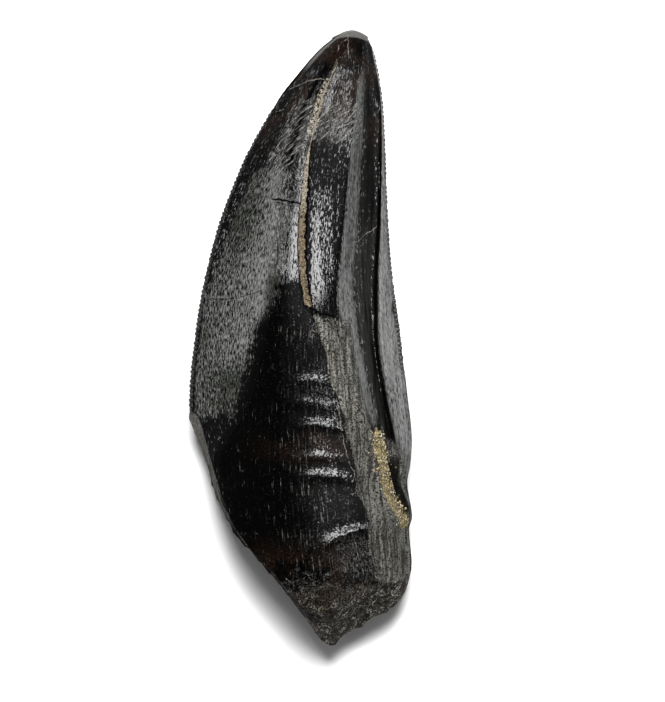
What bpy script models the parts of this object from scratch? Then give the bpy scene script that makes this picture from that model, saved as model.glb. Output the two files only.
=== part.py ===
"""A fossil tyrannosaur tooth: one solid, lying on its side, in metres with +Z up.

The worn tip points to +Y, the front (mesial) edge is at -X and the rear (distal) edge at +X. The
skin is a loft between unlike cross-sections: each section is drawn through the feature lines that
run down the tooth, such as its crown, the crack and the hollow channel, so no two have one shape.
Both edges are carinae with fused denticles. The root end is an oblique break with a rough wall.

Sizes are in millimetres. A station is the distance down from the tip, along the tooth. A share
is the place across it: 0 on the mesial edge, 1 on the distal edge.
"""

import bisect

import bmesh
import bpy
import numpy as np
from mathutils import Vector, noise

MM = 0.001
LENGTH = 75.0
ROWS = 84
ROW_CROWDING = 1.12  # over 1 draws the rows together towards the tip

# The two edges, seen from above: (station, sideways place of the edge).
MESIAL_EDGE = [(-1.0, 6.9), (0.5, 4.4), (2.4, 2.0), (5.4, -0.6), (8.3, -2.85), (10.5, -4.05),
               (16.0, -7.0), (25.8, -10.6), (35.5, -12.6), (45.5, -13.5), (55.0, -13.0),
               (77.0, -9.9)]
DISTAL_EDGE = [(-1.0, 6.9), (0.5, 8.1), (3.9, 9.3), (10.0, 10.15), (20.9, 10.6), (28.0, 11.0),
               (36.7, 12.1), (44.0, 12.9), (50.0, 13.5), (53.0, 13.3), (55.0, 12.95),
               (59.3, 13.55), (60.7, 13.2), (65.0, 13.5), (70.0, 13.2), (77.0, 12.9)]

# Height of each edge above the surface that the tooth lies on: (station, height).
MESIAL_HEIGHT = [(0.0, 3.1), (12.0, 3.6), (30.0, 4.7), (47.0, 5.9), (77.0, 6.4)]
DISTAL_HEIGHT = [(0.0, 3.2), (7.0, 4.2), (20.9, 5.3), (33.0, 6.2), (45.2, 7.1), (51.0, 6.9),
                 (60.0, 5.9), (77.0, 5.6)]

# Feature lines of the upper face: (station, share, height), from the mesial side to the distal.
FOLD = [(0.0, 0.24, 4.3), (1.6, 0.24, 5.2), (3.9, 0.24, 5.9), (14.8, 0.285, 8.1), (20.0, 0.33, 9.0),
        (26.0, 0.375, 10.0), (33.0, 0.365, 10.8), (39.1, 0.33, 11.5), (44.0, 0.29, 11.7),
        (47.0, 0.235, 11.6), (52.0, 0.12, 11.5), (62.2, 0.11, 12.8), (77.0, 0.16, 12.4)]
CROWN = [(0.0, 0.38, 4.5), (1.6, 0.38, 5.5), (3.9, 0.36, 6.3), (10.2, 0.33, 7.6), (20.9, 0.40, 9.4),
         (33.0, 0.43, 11.1), (45.2, 0.46, 12.8), (59.8, 0.48, 14.9), (64.6, 0.51, 15.2),
         (69.5, 0.54, 14.7), (77.0, 0.59, 13.0)]
CRACK = [(0.0, 0.56, 4.4), (1.6, 0.56, 5.6), (3.9, 0.47, 6.4), (8.1, 0.44, 7.2), (13.6, 0.447, 8.2),
         (19.7, 0.477, 9.1), (27.0, 0.51, 9.9), (33.0, 0.55, 10.7), (38.5, 0.62, 11.6),
         (43.4, 0.665, 12.2), (57.3, 0.78, 13.2), (62.8, 0.82, 13.0), (77.0, 0.88, 11.0)]
CHANNEL_RIM = [(0.0, 0.80, 4.2), (1.6, 0.80, 5.2), (6.9, 0.755, 6.6), (20.9, 0.75, 8.1),
               (33.0, 0.715, 9.3), (40.3, 0.738, 10.4), (50.1, 0.80, 11.2), (54.9, 0.867, 11.0),
               (64.6, 0.93, 10.0), (77.0, 0.96, 8.4)]
CHANNEL_FLOOR = [(0.0, 0.88, 4.0), (1.6, 0.88, 4.8), (6.9, 0.853, 5.6), (20.9, 0.859, 6.3),
                 (33.0, 0.822, 7.3), (45.2, 0.848, 8.7), (50.1, 0.870, 8.7), (54.9, 0.935, 8.2),
                 (77.0, 0.98, 7.4)]
CHANNEL_FOOT = [(0.0, 0.94, 3.8), (1.6, 0.94, 4.4), (6.9, 0.965, 5.1), (20.9, 0.945, 5.6),
                (33.0, 0.889, 6.5), (37.8, 0.871, 7.3), (45.2, 0.887, 7.9), (50.1, 0.909, 7.6),
                (54.9, 0.962, 7.2), (77.0, 0.986, 6.8)]
DISTAL_RIDGE = [(0.0, 0.975, 3.6), (1.6, 0.975, 4.2), (6.9, 0.982, 4.9), (20.9, 0.957, 6.3),
                (33.0, 0.912, 7.9), (37.8, 0.890, 8.5), (45.2, 0.908, 8.9), (50.1, 0.930, 8.5),
                (54.9, 0.988, 6.7), (77.0, 0.993, 6.2)]

# The front face is nearly flat: this far to the fold, it has risen by that part of its height.
FRONT = (0.75, 0.78)

# Columns of the skin: the steps in each gap between neighbouring lines of the upper face, which
# starts with the narrow band of the mesial carina, and the shares of those underneath.
EDGE_BAND = 0.022
UPPER_GAPS = [1, 5, 4, 4, 1, 1, 4, 3, 2, 2, 1]
UNDER_SHARES = [0.02, 0.09, 0.18, 0.27, 0.35, 0.42, 0.54, 0.66, 0.74, 0.82, 0.90, 0.98]

# The underside: (share, portion of the edge's height), down to the flat land that it lies on.
BELLY = [(0.0, 1.0), (0.02, 0.86), (0.09, 0.56), (0.18, 0.32), (0.27, 0.15), (0.35, 0.05),
         (0.42, 0.0), (0.66, 0.0), (0.74, 0.08), (0.82, 0.25), (0.90, 0.51), (0.98, 0.86),
         (1.0, 1.0)]
TIP_LIFT = 2.1  # the land rises this far at the tip, and is flat from LAND_FROM on
LAND_FROM = 13.0
TIP_FACE = 0.35  # the tip's small face bulges this far beyond its rim
TIP_ROUND = 0.6  # and its corners stand this much further back

# The broken root end: (share, station of the outline), and how far the upper face stops short
# of it, how far the underside does, and how high the outline stands as a portion of the wall.
BREAK = [(0.0, 47.4), (0.03, 49.6), (0.056, 51.4), (0.08, 53.8), (0.137, 58.6), (0.30, 65.0),
         (0.464, 70.8), (0.53, 73.4), (0.565, 74.5), (0.62, 74.6), (0.655, 73.8),
         (0.72, 73.0), (0.876, 70.9), (0.975, 68.4), (1.0, 65.6)]
BREAK_INSET = [(0.0, 0.0), (0.03, 1.8), (0.06, 2.5), (0.10, 2.5), (0.14, 1.4), (0.22, 0.7),
               (0.45, 1.6), (0.60, 5.0), (0.80, 4.6), (0.95, 2.6), (1.0, 0.0)]
BREAK_UNDERCUT = [(0.0, 0.0), (0.1, 1.2), (0.5, 2.4), (0.9, 1.5), (1.0, 0.0)]
BREAK_RISE = [(0.0, 0.5), (0.14, 0.62), (0.45, 0.6), (0.6, 0.42), (1.0, 0.4)]
BREAK_JAG = 0.5
BREAK_JAG_SHARE = 0.033
BREAK_GRAIN = 0.5
BREAK_GRAIN_SIZE = 1.7
BREAK_EDGE_SHARE = 0.15  # the wall is plain this near to the two edges
WALL_COLUMNS = 44
TIP_COLUMNS = 12
WALL_ROWS = 9
WALL_FACES = Vector((-0.9, -0.4, 0.1)), Vector((0.7, -0.7, 0.1))  # at the two ends of the wall

# Denticles: from where to where, how far apart, how tall, and the profile of one.
MESIAL_TEETH = (10.1, 46.6)
DISTAL_TEETH = (1.9, 42.0)
TOOTH_PITCH = 0.575
TOOTH_HEIGHT = 0.2
TOOTH_PROFILE = [(0.0, 0.0), (0.24, 0.9), (0.68, 1.0)]

# Above its first denticle the mesial edge is worn back to a narrow slanting facet.
WORN_BACK = 0.25
FACET_WIDTH = 1.1
FACET_DROP = 0.7
FACET_END = (6.0, 9.5)
PLAIN_STEP = 0.9

# Relief of the upper face.
CRACK_HALF_WIDTH = 0.3
CRACK_DEPTH = 0.45
CRACK_OPENS = (3.0, 6.0)
CRACK_ENDS = (33.3, 34.3)
CHIP_DROP = 0.4
CHIP_EDGE = (34.6, 37.2)  # the raised strip ends here, further down towards the channel
CHIP_RUN = 0.6
STRIP_RISE = 0.25
STRIP_STARTS = (16.0, 21.0)
STRIP_SIDE = 0.02
WRINKLES = [(41.3, 0.12), (45.1, 0.14), (47.9, 0.20), (51.5, 0.14), (53.8, 0.20), (60.9, 0.32)]
WRINKLE_WIDTH = 0.75
WRINKLE_SHARE = 0.58
WRINKLE_REACH = 0.14
WRINKLE_ARCH = 0.8
PIT_PLACE = (55.6, 0.935)
PIT_SIZE = (3.2, 0.035)
PIT_DEPTH = 1.3
CRUST_PLACE = (53.0, 0.875)
CRUST_SIZE = (5.5, 0.035)
CRUST_RISE = 0.45
CRUST_LUMP = 1.1
BASE_ROUGHENS = (62.0, 68.0)
BASE_GRAIN = 0.3
BASE_GRAIN_SIZE = 1.6


class Curve:
    """One column of some knots, read along a cubic that passes them all without overshoot."""

    def __init__(self, knots, column=1):
        self.at = [knot[0] for knot in knots]
        self.value = [knot[column] for knot in knots]
        self.run = [b - a for a, b in zip(self.at, self.at[1:])]
        slope = [(b - a) / run for a, b, run in zip(self.value, self.value[1:], self.run)]
        inner = [2 * a * b / (a + b) if a * b > 0 else 0.0 for a, b in zip(slope, slope[1:])]
        self.tangent = [slope[0], *inner, slope[-1]]

    def __call__(self, place):
        i = min(max(bisect.bisect_left(self.at, place) - 1, 0), len(self.run) - 1)
        run = self.run[i]
        t = (place - self.at[i]) / run
        start = (1 + 2 * t) * self.value[i] + t * run * self.tangent[i]
        end = (3 - 2 * t) * self.value[i + 1] - (1 - t) * run * self.tangent[i + 1]
        return (1 - t) ** 2 * start + t * t * end


mesial_edge, distal_edge = Curve(MESIAL_EDGE), Curve(DISTAL_EDGE)
mesial_height, distal_height = Curve(MESIAL_HEIGHT), Curve(DISTAL_HEIGHT)
LINES = (FOLD, CROWN, CRACK, CHANNEL_RIM, CHANNEL_FLOOR, CHANNEL_FOOT, DISTAL_RIDGE)
line_shares = [Curve(line, 1) for line in LINES]
line_heights = [Curve(line, 2) for line in LINES]
crack_share, rim_share = Curve(CRACK), Curve(CHANNEL_RIM)
break_station, break_inset = Curve(BREAK), Curve(BREAK_INSET)
break_undercut, break_rise = Curve(BREAK_UNDERCUT), Curve(BREAK_RISE)
belly_part = Curve(BELLY)


def fade(low, high, place):
    """0 below low, 1 above high, and an S-curve between them."""
    t = min(max((place - low) / (high - low), 0.0), 1.0)
    return t * t * (3 - 2 * t)


def bell(distance, width):
    return float(np.exp(-((distance / width) ** 2)))


def grain(x, y, z, size):
    """Uneven lumps, up and down by about 1, that lie about one size apart."""
    return noise.noise(Vector((x, y, z)) / size) + 0.5 * noise.noise(Vector((y, z, x)) * 2 / size)


def sideways(station, share):
    mesial = mesial_edge(station)
    return mesial + share * (distal_edge(station) - mesial)


def crack_lips(station):
    """Shares of the crack's two lips and its middle."""
    middle = crack_share(station)
    breadth = distal_edge(station) - mesial_edge(station)
    reach = min(CRACK_HALF_WIDTH / breadth, 0.05)
    return [middle - reach, middle, middle + reach]


def upper_lines(station):
    """The shares at which the feature lines cross a station."""
    fold, crown, _, *outer = [line(station) for line in line_shares]
    return [0.0, EDGE_BAND, fold, crown, *crack_lips(station), *outer, 1.0]


def upper_shares(station):
    """The shares of the upper face's columns, the edges left out."""
    lines = upper_lines(station)
    shares = []
    for first, last, steps in zip(lines, lines[1:], UPPER_GAPS):
        shares += [first + (last - first) * step / steps for step in range(steps)]
    return shares[1:]


def section_height(station, share):
    """Height of the plain upper face, from a curve across through all the feature lines."""
    shares = [line(station) for line in line_shares]
    heights = [height(station) for height in line_heights]
    edge = mesial_height(station)
    front = (FRONT[0] * shares[0], edge + FRONT[1] * (heights[0] - edge))
    section = [(0.0, edge), front, *zip(shares, heights), (1.0, distal_height(station))]
    return Curve(section)(share)


def crack_relief(station, share):
    """The open crack above, and below its end the step from the enamel down to the dentine."""
    lip, middle, other_lip = crack_lips(station)
    rim = rim_share(station)
    chip = CHIP_EDGE[0] + (CHIP_EDGE[1] - CHIP_EDGE[0]) * fade(middle, rim, share)
    chipped = fade(chip, chip + CHIP_RUN, station)
    in_crack = lip < share < other_lip
    open_crack = in_crack * fade(*CRACK_OPENS, station) * (1 - fade(*CRACK_ENDS, station))
    off_crack = fade(middle, other_lip, share)
    over_strip = off_crack * (1 - fade(rim - STRIP_SIDE, rim + STRIP_SIDE, share))
    strip = STRIP_RISE * fade(*STRIP_STARTS, station) * (1 - chipped)
    bare = CHIP_DROP * chipped * (1 - fade(*BASE_ROUGHENS, station))
    return over_strip * (strip - bare) - CRACK_DEPTH * open_crack


def wrinkle_relief(station, share):
    """Low transverse folds in the enamel, arched down the tooth on both sides."""
    off_middle = (share - WRINKLE_SHARE) / WRINKLE_REACH
    arched = station - WRINKLE_ARCH * off_middle * off_middle
    return sum(rise * bell(arched - at, WRINKLE_WIDTH) for at, rise in WRINKLES) * bell(off_middle, 1)


def tip_facet(station, x):
    """How far the worn facet lies below the skin: most on the edge, nothing at its inner rim."""
    inward = min(max((x - mesial_edge(station)) / FACET_WIDTH, 0.0), 1.0)
    return -FACET_DROP * (1 - inward) * (1 - fade(*FACET_END, station))


def spot(station, share, place, size):
    return bell(station - place[0], size[0]) * bell(share - place[1], size[1])


def upper_point(station, share):
    x = sideways(station, share)
    z = section_height(station, share) + crack_relief(station, share)
    z += wrinkle_relief(station, share) + tip_facet(station, x)
    z -= PIT_DEPTH * spot(station, share, PIT_PLACE, PIT_SIZE)
    lumps = 1 + grain(x, station, 0.0, CRUST_LUMP)
    z += CRUST_RISE * lumps * spot(station, share, CRUST_PLACE, CRUST_SIZE)
    z += BASE_GRAIN * fade(*BASE_ROUGHENS, station) * grain(x, station, z, BASE_GRAIN_SIZE)
    return Vector((x, -station, z))


def under_point(station, share):
    edge = mesial_height(station) * (1 - share) + distal_height(station) * share
    land = TIP_LIFT * (1 - fade(0.0, LAND_FROM, station))
    return Vector((sideways(station, share), -station, land + (edge - land) * belly_part(share)))


def off_edges(share):
    return fade(0.0, BREAK_EDGE_SHARE, share) * fade(0.0, BREAK_EDGE_SHARE, 1 - share)


def upper_end(share):
    jag = BREAK_JAG * grain(share, 0.0, 0.0, BREAK_JAG_SHARE) * off_edges(share)
    return break_station(share) - break_inset(share) + jag


def under_end(share):
    return break_station(share) - break_undercut(share)


def tip_rim(share):
    """Station of the rim of the tip's face."""
    return TIP_FACE + TIP_ROUND * (2 * share - 1) ** 2


def row_station(row, share, end):
    """Rows start across the rounded tip and turn until the last one follows the break."""
    first = tip_rim(share)
    return first + (row / ROWS) ** ROW_CROWDING * (end(share) - first)


def upper_column(number):
    """One line of points down the upper face. Its share follows the feature lines."""
    points = []
    for row in range(ROWS + 1):
        low, high = 0.0, LENGTH + 1
        for _ in range(20):
            station = (low + high) / 2
            share = upper_shares(station)[number]
            beyond = station > row_station(row, share, upper_end)
            low, high = (low, station) if beyond else (station, high)
        points.append(upper_point(station, share))
    return points


def under_column(share):
    return [under_point(row_station(row, share, under_end), share) for row in range(ROWS + 1)]


def edge_lengths(edge, stations):
    """Distance along an edge at each of the stations."""
    across = np.array([edge(station) for station in stations])
    return np.concatenate([[0.0], np.cumsum(np.hypot(np.diff(across), np.diff(stations)))])


def carina(edge, height, outward, teeth, last, worn_back):
    """An edge's own points, from the tip to the break, with its denticles."""
    first = tip_rim(0.0)
    fine = np.linspace(first, last, 600)
    length = edge_lengths(edge, fine)
    start, stop = np.interp(teeth, fine, length)
    count = round((stop - start) / TOOTH_PITCH)
    above = np.arange(first, teeth[0] - 0.3, PLAIN_STEP)
    places = [(station, -worn_back) for station in above]
    for number in range(count):
        for along, rise in TOOTH_PROFILE:
            at = start + (number + along) * (stop - start) / count
            places.append((float(np.interp(at, length, fine)), (rise - 1) * TOOTH_HEIGHT))
    places += [(station, 0.0) for station in np.arange(teeth[1], last - 0.2, PLAIN_STEP)]
    places.append((last, 0.0))
    points = []
    for station, shift in places:
        x = edge(station) + outward * shift
        lowered = tip_facet(station, x) if worn_back else 0.0
        points.append(Vector((x, -station, height(station) + lowered)))
    return points


def tip_ridge():
    """Points across the tip's face, halfway down it, where it bulges most."""
    points = []
    for share in np.linspace(0.0, 1.0, TIP_COLUMNS)[1:-1]:
        rim = tip_rim(share)
        off_middle = 2 * share - 1
        point = upper_point(rim, share).lerp(under_point(rim, share), 0.5)
        point.y += TIP_FACE * (1 - off_middle * off_middle) ** 0.5
        points.append(point)
    return points


def wall_row(shares, down):
    """A row of points across the broken wall: down is 0 on its upper edge and 1 on its lower."""
    points = []
    for share in shares:
        outline = break_station(share)
        rise = break_rise(share)
        top = upper_point(upper_end(share), share)
        foot = under_point(under_end(share), share)
        middle = Vector((sideways(outline, share), -outline, foot.z + rise * (top.z - foot.z)))
        if down < 0.5:
            point = top.lerp(middle, 2 * down)
        else:
            point = middle.lerp(foot, 2 * down - 1)
        outward = WALL_FACES[0].lerp(WALL_FACES[1], share)
        lump = BREAK_GRAIN * off_edges(share) * grain(*point, BREAK_GRAIN_SIZE)
        points.append(point + outward * lump)
    return points


def add_line(mesh, points):
    return [mesh.verts.new(point) for point in points]


def stitch(mesh, left, right):
    """Triangles between two lines of points that run the same way, also of unlike numbers."""
    def next_gap(line, other, step, other_step):
        return (line[step + 1].co - other[other_step].co).length
    i = j = 0
    while i < len(left) - 1 or j < len(right) - 1:
        on_left = i < len(left) - 1
        if on_left and j < len(right) - 1:
            on_left = next_gap(left, right, i, j) < next_gap(right, left, j, i)
        if on_left:
            corners = (left[i], left[i + 1], right[j])
            i += 1
        else:
            corners = (left[i], right[j + 1], right[j])
            j += 1
        if len(set(corners)) == 3:
            mesh.faces.new(corners)


def tooth_mesh():
    mesh = bmesh.new()
    mesial = add_line(mesh, carina(
        mesial_edge, mesial_height, -1, MESIAL_TEETH, break_station(0.0), WORN_BACK))
    distal = add_line(mesh, carina(
        distal_edge, distal_height, 1, DISTAL_TEETH, break_station(1.0), 0.0))
    upper = [add_line(mesh, upper_column(n)) for n in range(len(upper_shares(0.0)))]
    under = [add_line(mesh, under_column(share)) for share in UNDER_SHARES]
    for left, right in zip([mesial, *upper], [*upper, distal]):
        stitch(mesh, left, right)
    for left, right in zip([distal, *under[::-1]], [*under[::-1], mesial]):
        stitch(mesh, left, right)

    # The tip is a small rounded face, and the wall closes the break in rows from top to bottom.
    tip_upper = [mesial[0], *(column[0] for column in upper), distal[0]]
    tip_under = [mesial[0], *(column[0] for column in under), distal[0]]
    tip_middle = [mesial[0], *add_line(mesh, tip_ridge()), distal[0]]
    stitch(mesh, tip_under, tip_middle)
    stitch(mesh, tip_middle, tip_upper)
    ends = [column[-1] for column in upper]
    rows = [[mesial[-1], *ends, distal[-1]]]
    shares = np.linspace(0.0, 1.0, WALL_COLUMNS)[1:-1]
    for down in np.linspace(0.0, 1.0, WALL_ROWS)[1:-1]:
        rows.append([mesial[-1], *add_line(mesh, wall_row(shares, down)), distal[-1]])
    rows.append([mesial[-1], *(column[-1] for column in under), distal[-1]])
    for above, below in zip(rows, rows[1:]):
        stitch(mesh, above, below)
    bmesh.ops.recalc_face_normals(mesh, faces=mesh.faces)
    return mesh


def rest_at_origin(mesh):
    """Real size in metres, centred over the origin and standing on it."""
    places = np.array([vert.co for vert in mesh.verts])
    low, high = places.min(axis=0), places.max(axis=0)
    centre = Vector(((low[0] + high[0]) / 2, (low[1] + high[1]) / 2, low[2]))
    for vert in mesh.verts:
        vert.co = (vert.co - centre) * MM


def enamel_material():
    material = bpy.data.materials.new("fossil_enamel")
    material.use_nodes = True
    surface = material.node_tree.nodes["Principled BSDF"]
    surface.inputs["Base Color"].default_value = (0.013, 0.010, 0.009, 1.0)
    surface.inputs["Roughness"].default_value = 0.3
    surface.inputs["Metallic"].default_value = 0.0
    return material


def clear_scene():
    for thing in list(bpy.data.objects):
        bpy.data.objects.remove(thing, do_unlink=True)


def add_tooth(collection):
    shape = tooth_mesh()
    rest_at_origin(shape)
    data = bpy.data.meshes.new("tooth")
    shape.to_mesh(data)
    shape.free()
    data.materials.append(enamel_material())
    tooth = bpy.data.objects.new("tooth", data)
    collection.objects.link(tooth)
    data.shade_smooth()
    data.set_sharp_from_angle(angle=np.radians(32))
    return tooth


def main():
    clear_scene()
    collection = bpy.data.collections.new("fossil_tyrannosaur_tooth")
    bpy.context.scene.collection.children.link(collection)
    add_tooth(collection)


main()
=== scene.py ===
# %% [markdown]
# # A fossil tyrannosaur tooth, lying on a white table
#
# The tooth is one piece of stone: black enamel over a brown core of dentine. Its looks come from
# four things. The body carries the big forms and the breaks. Small denticles, like the teeth of a
# steak knife, line both edges. Tan sediment fills the long crack. And the gloss changes from place
# to place, from polished black to satin grey to dull, so most of the work is in the surface. Some
# of the grey sheen and of the glints is painted into the colour, as painted light.
#
# All shapes are worked out in millimetres. A **station** is the distance down from the tip. A
# **share** is the place across: 0 on the front (mesial) edge, 1 on the rear (distal) edge.

# %% Load the frame
import math

import bmesh
import bpy
import numpy as np
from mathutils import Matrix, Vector, noise


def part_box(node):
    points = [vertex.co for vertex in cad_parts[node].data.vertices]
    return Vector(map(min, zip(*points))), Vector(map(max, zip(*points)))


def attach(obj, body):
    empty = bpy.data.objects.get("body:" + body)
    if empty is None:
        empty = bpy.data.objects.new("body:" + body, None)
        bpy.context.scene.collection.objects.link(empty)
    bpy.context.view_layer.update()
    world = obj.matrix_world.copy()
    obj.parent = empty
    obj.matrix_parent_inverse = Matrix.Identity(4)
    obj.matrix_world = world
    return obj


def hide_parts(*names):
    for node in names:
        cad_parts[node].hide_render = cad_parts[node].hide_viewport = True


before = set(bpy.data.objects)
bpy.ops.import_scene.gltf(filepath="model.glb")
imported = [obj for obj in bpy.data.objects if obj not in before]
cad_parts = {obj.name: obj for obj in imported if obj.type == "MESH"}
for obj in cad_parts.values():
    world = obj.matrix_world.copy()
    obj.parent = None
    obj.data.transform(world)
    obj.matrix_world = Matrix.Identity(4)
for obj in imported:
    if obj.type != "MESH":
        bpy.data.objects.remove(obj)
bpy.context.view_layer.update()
low_corner, high_corner = (np.array(corner) * 1000 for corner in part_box("tooth"))
print("tooth, mm:", np.round(high_corner - low_corner, 2))

# %% [markdown]
# ## Curves and lines
#
# A tooth has no straight lines, so its shape is held as a few knots that a smooth curve passes.
# The curve is a cubic that never overshoots: where the knots make a rim or the foot of a step, the
# curve keeps it. The same cubic is used down the tooth, for its feature lines, and across it, for
# the section at each station.

# %% A smooth curve through knots
def cubic(at, value, place):
    """Reads a curve through the knots (at, value), given as columns, at each place."""
    run = np.diff(at, axis=0)
    slope = np.diff(value, axis=0) / run
    bends = slope[:-1] * slope[1:] > 0
    total = np.where(bends, slope[:-1] + slope[1:], 1.0)
    inner = np.where(bends, 2 * slope[:-1] * slope[1:] / total, 0.0)
    tangent = np.concatenate([slope[:1], inner, slope[-1:]])
    i = (place >= at[1:-1]).sum(axis=0)
    across = np.arange(len(place)) if at.shape[1] > 1 else 0
    gap = run[i, across]
    t = (place - at[i, across]) / gap
    start = (1 + 2 * t) * value[i, across] + t * gap * tangent[i, across]
    end = (3 - 2 * t) * value[i + 1, across] - (1 - t) * gap * tangent[i + 1, across]
    return (1 - t) ** 2 * start + t * t * end


class Curve:
    """One column of some knots, read at any number of places at once."""

    def __init__(self, knots, column=1):
        self.at = np.array([[float(knot[0])] for knot in knots])
        self.value = np.array([[float(knot[column])] for knot in knots])

    def __call__(self, place):
        return cubic(self.at, self.value, np.atleast_1d(place))


print("a curve through 0, 1 and 0, read halfway up:", Curve([(0, 0), (1, 1), (2, 0)])(0.5).round(3))

# %% Soft steps, bumps and lumps
def fade(low, high, place):
    """0 below low, 1 above high, and an S-curve between them."""
    t = np.clip((place - low) / (high - low), 0.0, 1.0)
    return t * t * (3 - 2 * t)


def between(first, last, place, soft):
    """1 between two limits and 0 outside them, with soft edges."""
    return fade(first - soft, first + soft, place) * (1 - fade(last - soft, last + soft, place))


def bell(distance, width):
    """1 in the middle, and down to a third of it one width away."""
    return np.exp(-((distance / width) ** 2))


def grain(points, size):
    """Uneven lumps, up and down by about 1, that lie about one size apart."""
    def lump(point):
        scaled = Vector(point) / size
        return noise.noise(scaled) + 0.5 * noise.noise(scaled.yzx * 2)
    return np.array([lump(point) for point in points])


print("fade from 0 to 1, read at 0.25:", round(float(fade(0, 1, 0.25)), 3))

# %% [markdown]
# The two edges are carinae, the cutting edges of the crown. Between them seven feature lines run
# down the upper face: the fold where the front face turns up, the crown, the long crack, the rim,
# floor and foot of the hollow channel, and the low ridge beside the rear edge. The underside needs
# only one curve across, and the break one for its outline and a few for how it slants.

# %% The two edges: how far to the side they lie, and how high
MESIAL_EDGE = Curve([(-1.0, 6.9), (0.5, 4.4), (2.4, 2.0), (5.4, -0.6), (8.3, -2.85), (10.5, -4.05),
                     (16.0, -7.0), (25.8, -10.6), (35.5, -12.6), (45.5, -13.5), (55.0, -13.0),
                     (77.0, -9.9)])
DISTAL_EDGE = Curve([(-1.0, 6.9), (0.5, 8.1), (3.9, 9.3), (10.0, 10.15), (20.9, 10.6),
                     (28.0, 11.0), (36.7, 12.1), (44.0, 12.9), (50.0, 13.5), (53.0, 13.3),
                     (55.0, 12.95), (59.3, 13.55), (60.7, 13.2), (65.0, 13.5), (70.0, 13.2),
                     (77.0, 12.9)])
MESIAL_HEIGHT = Curve([(0.0, 3.1), (12.0, 3.6), (30.0, 4.7), (47.0, 5.9), (77.0, 6.4)])
DISTAL_HEIGHT = Curve([(0.0, 3.2), (7.0, 4.2), (20.9, 5.3), (33.0, 6.2), (45.2, 7.1), (51.0, 6.9),
                       (60.0, 5.9), (77.0, 5.6)])


def breadth(station):
    return DISTAL_EDGE(station) - MESIAL_EDGE(station)


print("breadth at stations 10, 30, 50 and 65, mm:", breadth([10, 30, 50, 65]).round(1))

# %% Feature lines of the upper face, each as (station, share, height)
FOLD = [(0.0, 0.24, 4.3), (1.6, 0.24, 5.2), (3.9, 0.24, 5.9), (14.8, 0.285, 8.1), (20.0, 0.33, 9.0),
        (26.0, 0.375, 10.0), (33.0, 0.365, 10.8), (39.1, 0.33, 11.5), (44.0, 0.29, 11.7),
        (47.0, 0.235, 11.6), (52.0, 0.12, 11.5), (62.2, 0.11, 12.8), (77.0, 0.16, 12.4)]
CROWN = [(0.0, 0.38, 4.5), (1.6, 0.38, 5.5), (3.9, 0.36, 6.3), (10.2, 0.33, 7.6), (20.9, 0.40, 9.4),
         (33.0, 0.43, 11.1), (45.2, 0.46, 12.8), (59.8, 0.48, 14.9), (64.6, 0.51, 15.2),
         (69.5, 0.54, 14.7), (77.0, 0.59, 13.0)]
CRACK = [(0.0, 0.56, 4.4), (1.6, 0.56, 5.6), (3.9, 0.47, 6.4), (8.1, 0.44, 7.2), (13.6, 0.447, 8.2),
         (19.7, 0.477, 9.1), (27.0, 0.51, 9.9), (33.0, 0.55, 10.7), (38.5, 0.62, 11.6),
         (43.4, 0.665, 12.2), (57.3, 0.78, 13.2), (62.8, 0.82, 13.0), (77.0, 0.88, 11.0)]
CHANNEL_RIM = [(0.0, 0.80, 4.2), (1.6, 0.80, 5.2), (6.9, 0.755, 6.6), (20.9, 0.75, 8.1),
               (33.0, 0.715, 9.3), (40.3, 0.738, 10.4), (50.1, 0.80, 11.2), (54.9, 0.867, 11.0),
               (64.6, 0.93, 10.0), (77.0, 0.96, 8.4)]
CHANNEL_FLOOR = [(0.0, 0.88, 4.0), (1.6, 0.88, 4.8), (6.9, 0.853, 5.6), (20.9, 0.859, 6.3),
                 (33.0, 0.822, 7.3), (45.2, 0.848, 8.7), (50.1, 0.870, 8.7), (54.9, 0.935, 8.2),
                 (77.0, 0.98, 7.4)]
CHANNEL_FOOT = [(0.0, 0.94, 3.8), (1.6, 0.94, 4.4), (6.9, 0.965, 5.1), (20.9, 0.945, 5.6),
                (33.0, 0.889, 6.5), (37.8, 0.871, 7.3), (45.2, 0.887, 7.9), (50.1, 0.909, 7.6),
                (54.9, 0.962, 7.2), (77.0, 0.986, 6.8)]
DISTAL_RIDGE = [(0.0, 0.975, 3.6), (1.6, 0.975, 4.2), (6.9, 0.982, 4.9), (20.9, 0.957, 6.3),
                (33.0, 0.912, 7.9), (37.8, 0.890, 8.5), (45.2, 0.908, 8.9), (50.1, 0.930, 8.5),
                (54.9, 0.988, 6.7), (77.0, 0.993, 6.2)]
LINES = (FOLD, CROWN, CRACK, CHANNEL_RIM, CHANNEL_FLOOR, CHANNEL_FOOT, DISTAL_RIDGE)
line_shares = [Curve(line, 1) for line in LINES]
line_heights = [Curve(line, 2) for line in LINES]
fold_share, crack_share, rim_share, foot_share = (line_shares[line] for line in (0, 2, 3, 5))
print("shares of the lines at station 40:", [round(float(line(40)[0]), 2) for line in line_shares])

# %% Underside and break, from the mesial edge at 0 to the distal edge at 1
BELLY = Curve([(0.0, 1.0), (0.02, 0.86), (0.09, 0.56), (0.18, 0.32), (0.27, 0.15), (0.35, 0.05),
               (0.42, 0.0), (0.66, 0.0), (0.74, 0.08), (0.82, 0.25), (0.90, 0.51), (0.98, 0.86),
               (1.0, 1.0)])
BREAK = Curve([(0.0, 47.4), (0.03, 49.6), (0.056, 51.4), (0.08, 53.8), (0.137, 58.6), (0.30, 65.0),
               (0.464, 70.8), (0.53, 73.4), (0.565, 74.5), (0.62, 74.6), (0.655, 73.8),
               (0.72, 73.0), (0.876, 70.9), (0.975, 68.4), (1.0, 65.6)])
BREAK_INSET = Curve([(0.0, 0.0), (0.03, 1.8), (0.06, 2.5), (0.10, 2.5), (0.14, 1.4), (0.22, 0.7),
                     (0.45, 1.6), (0.60, 5.0), (0.80, 4.6), (0.95, 2.6), (1.0, 0.0)])
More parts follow.
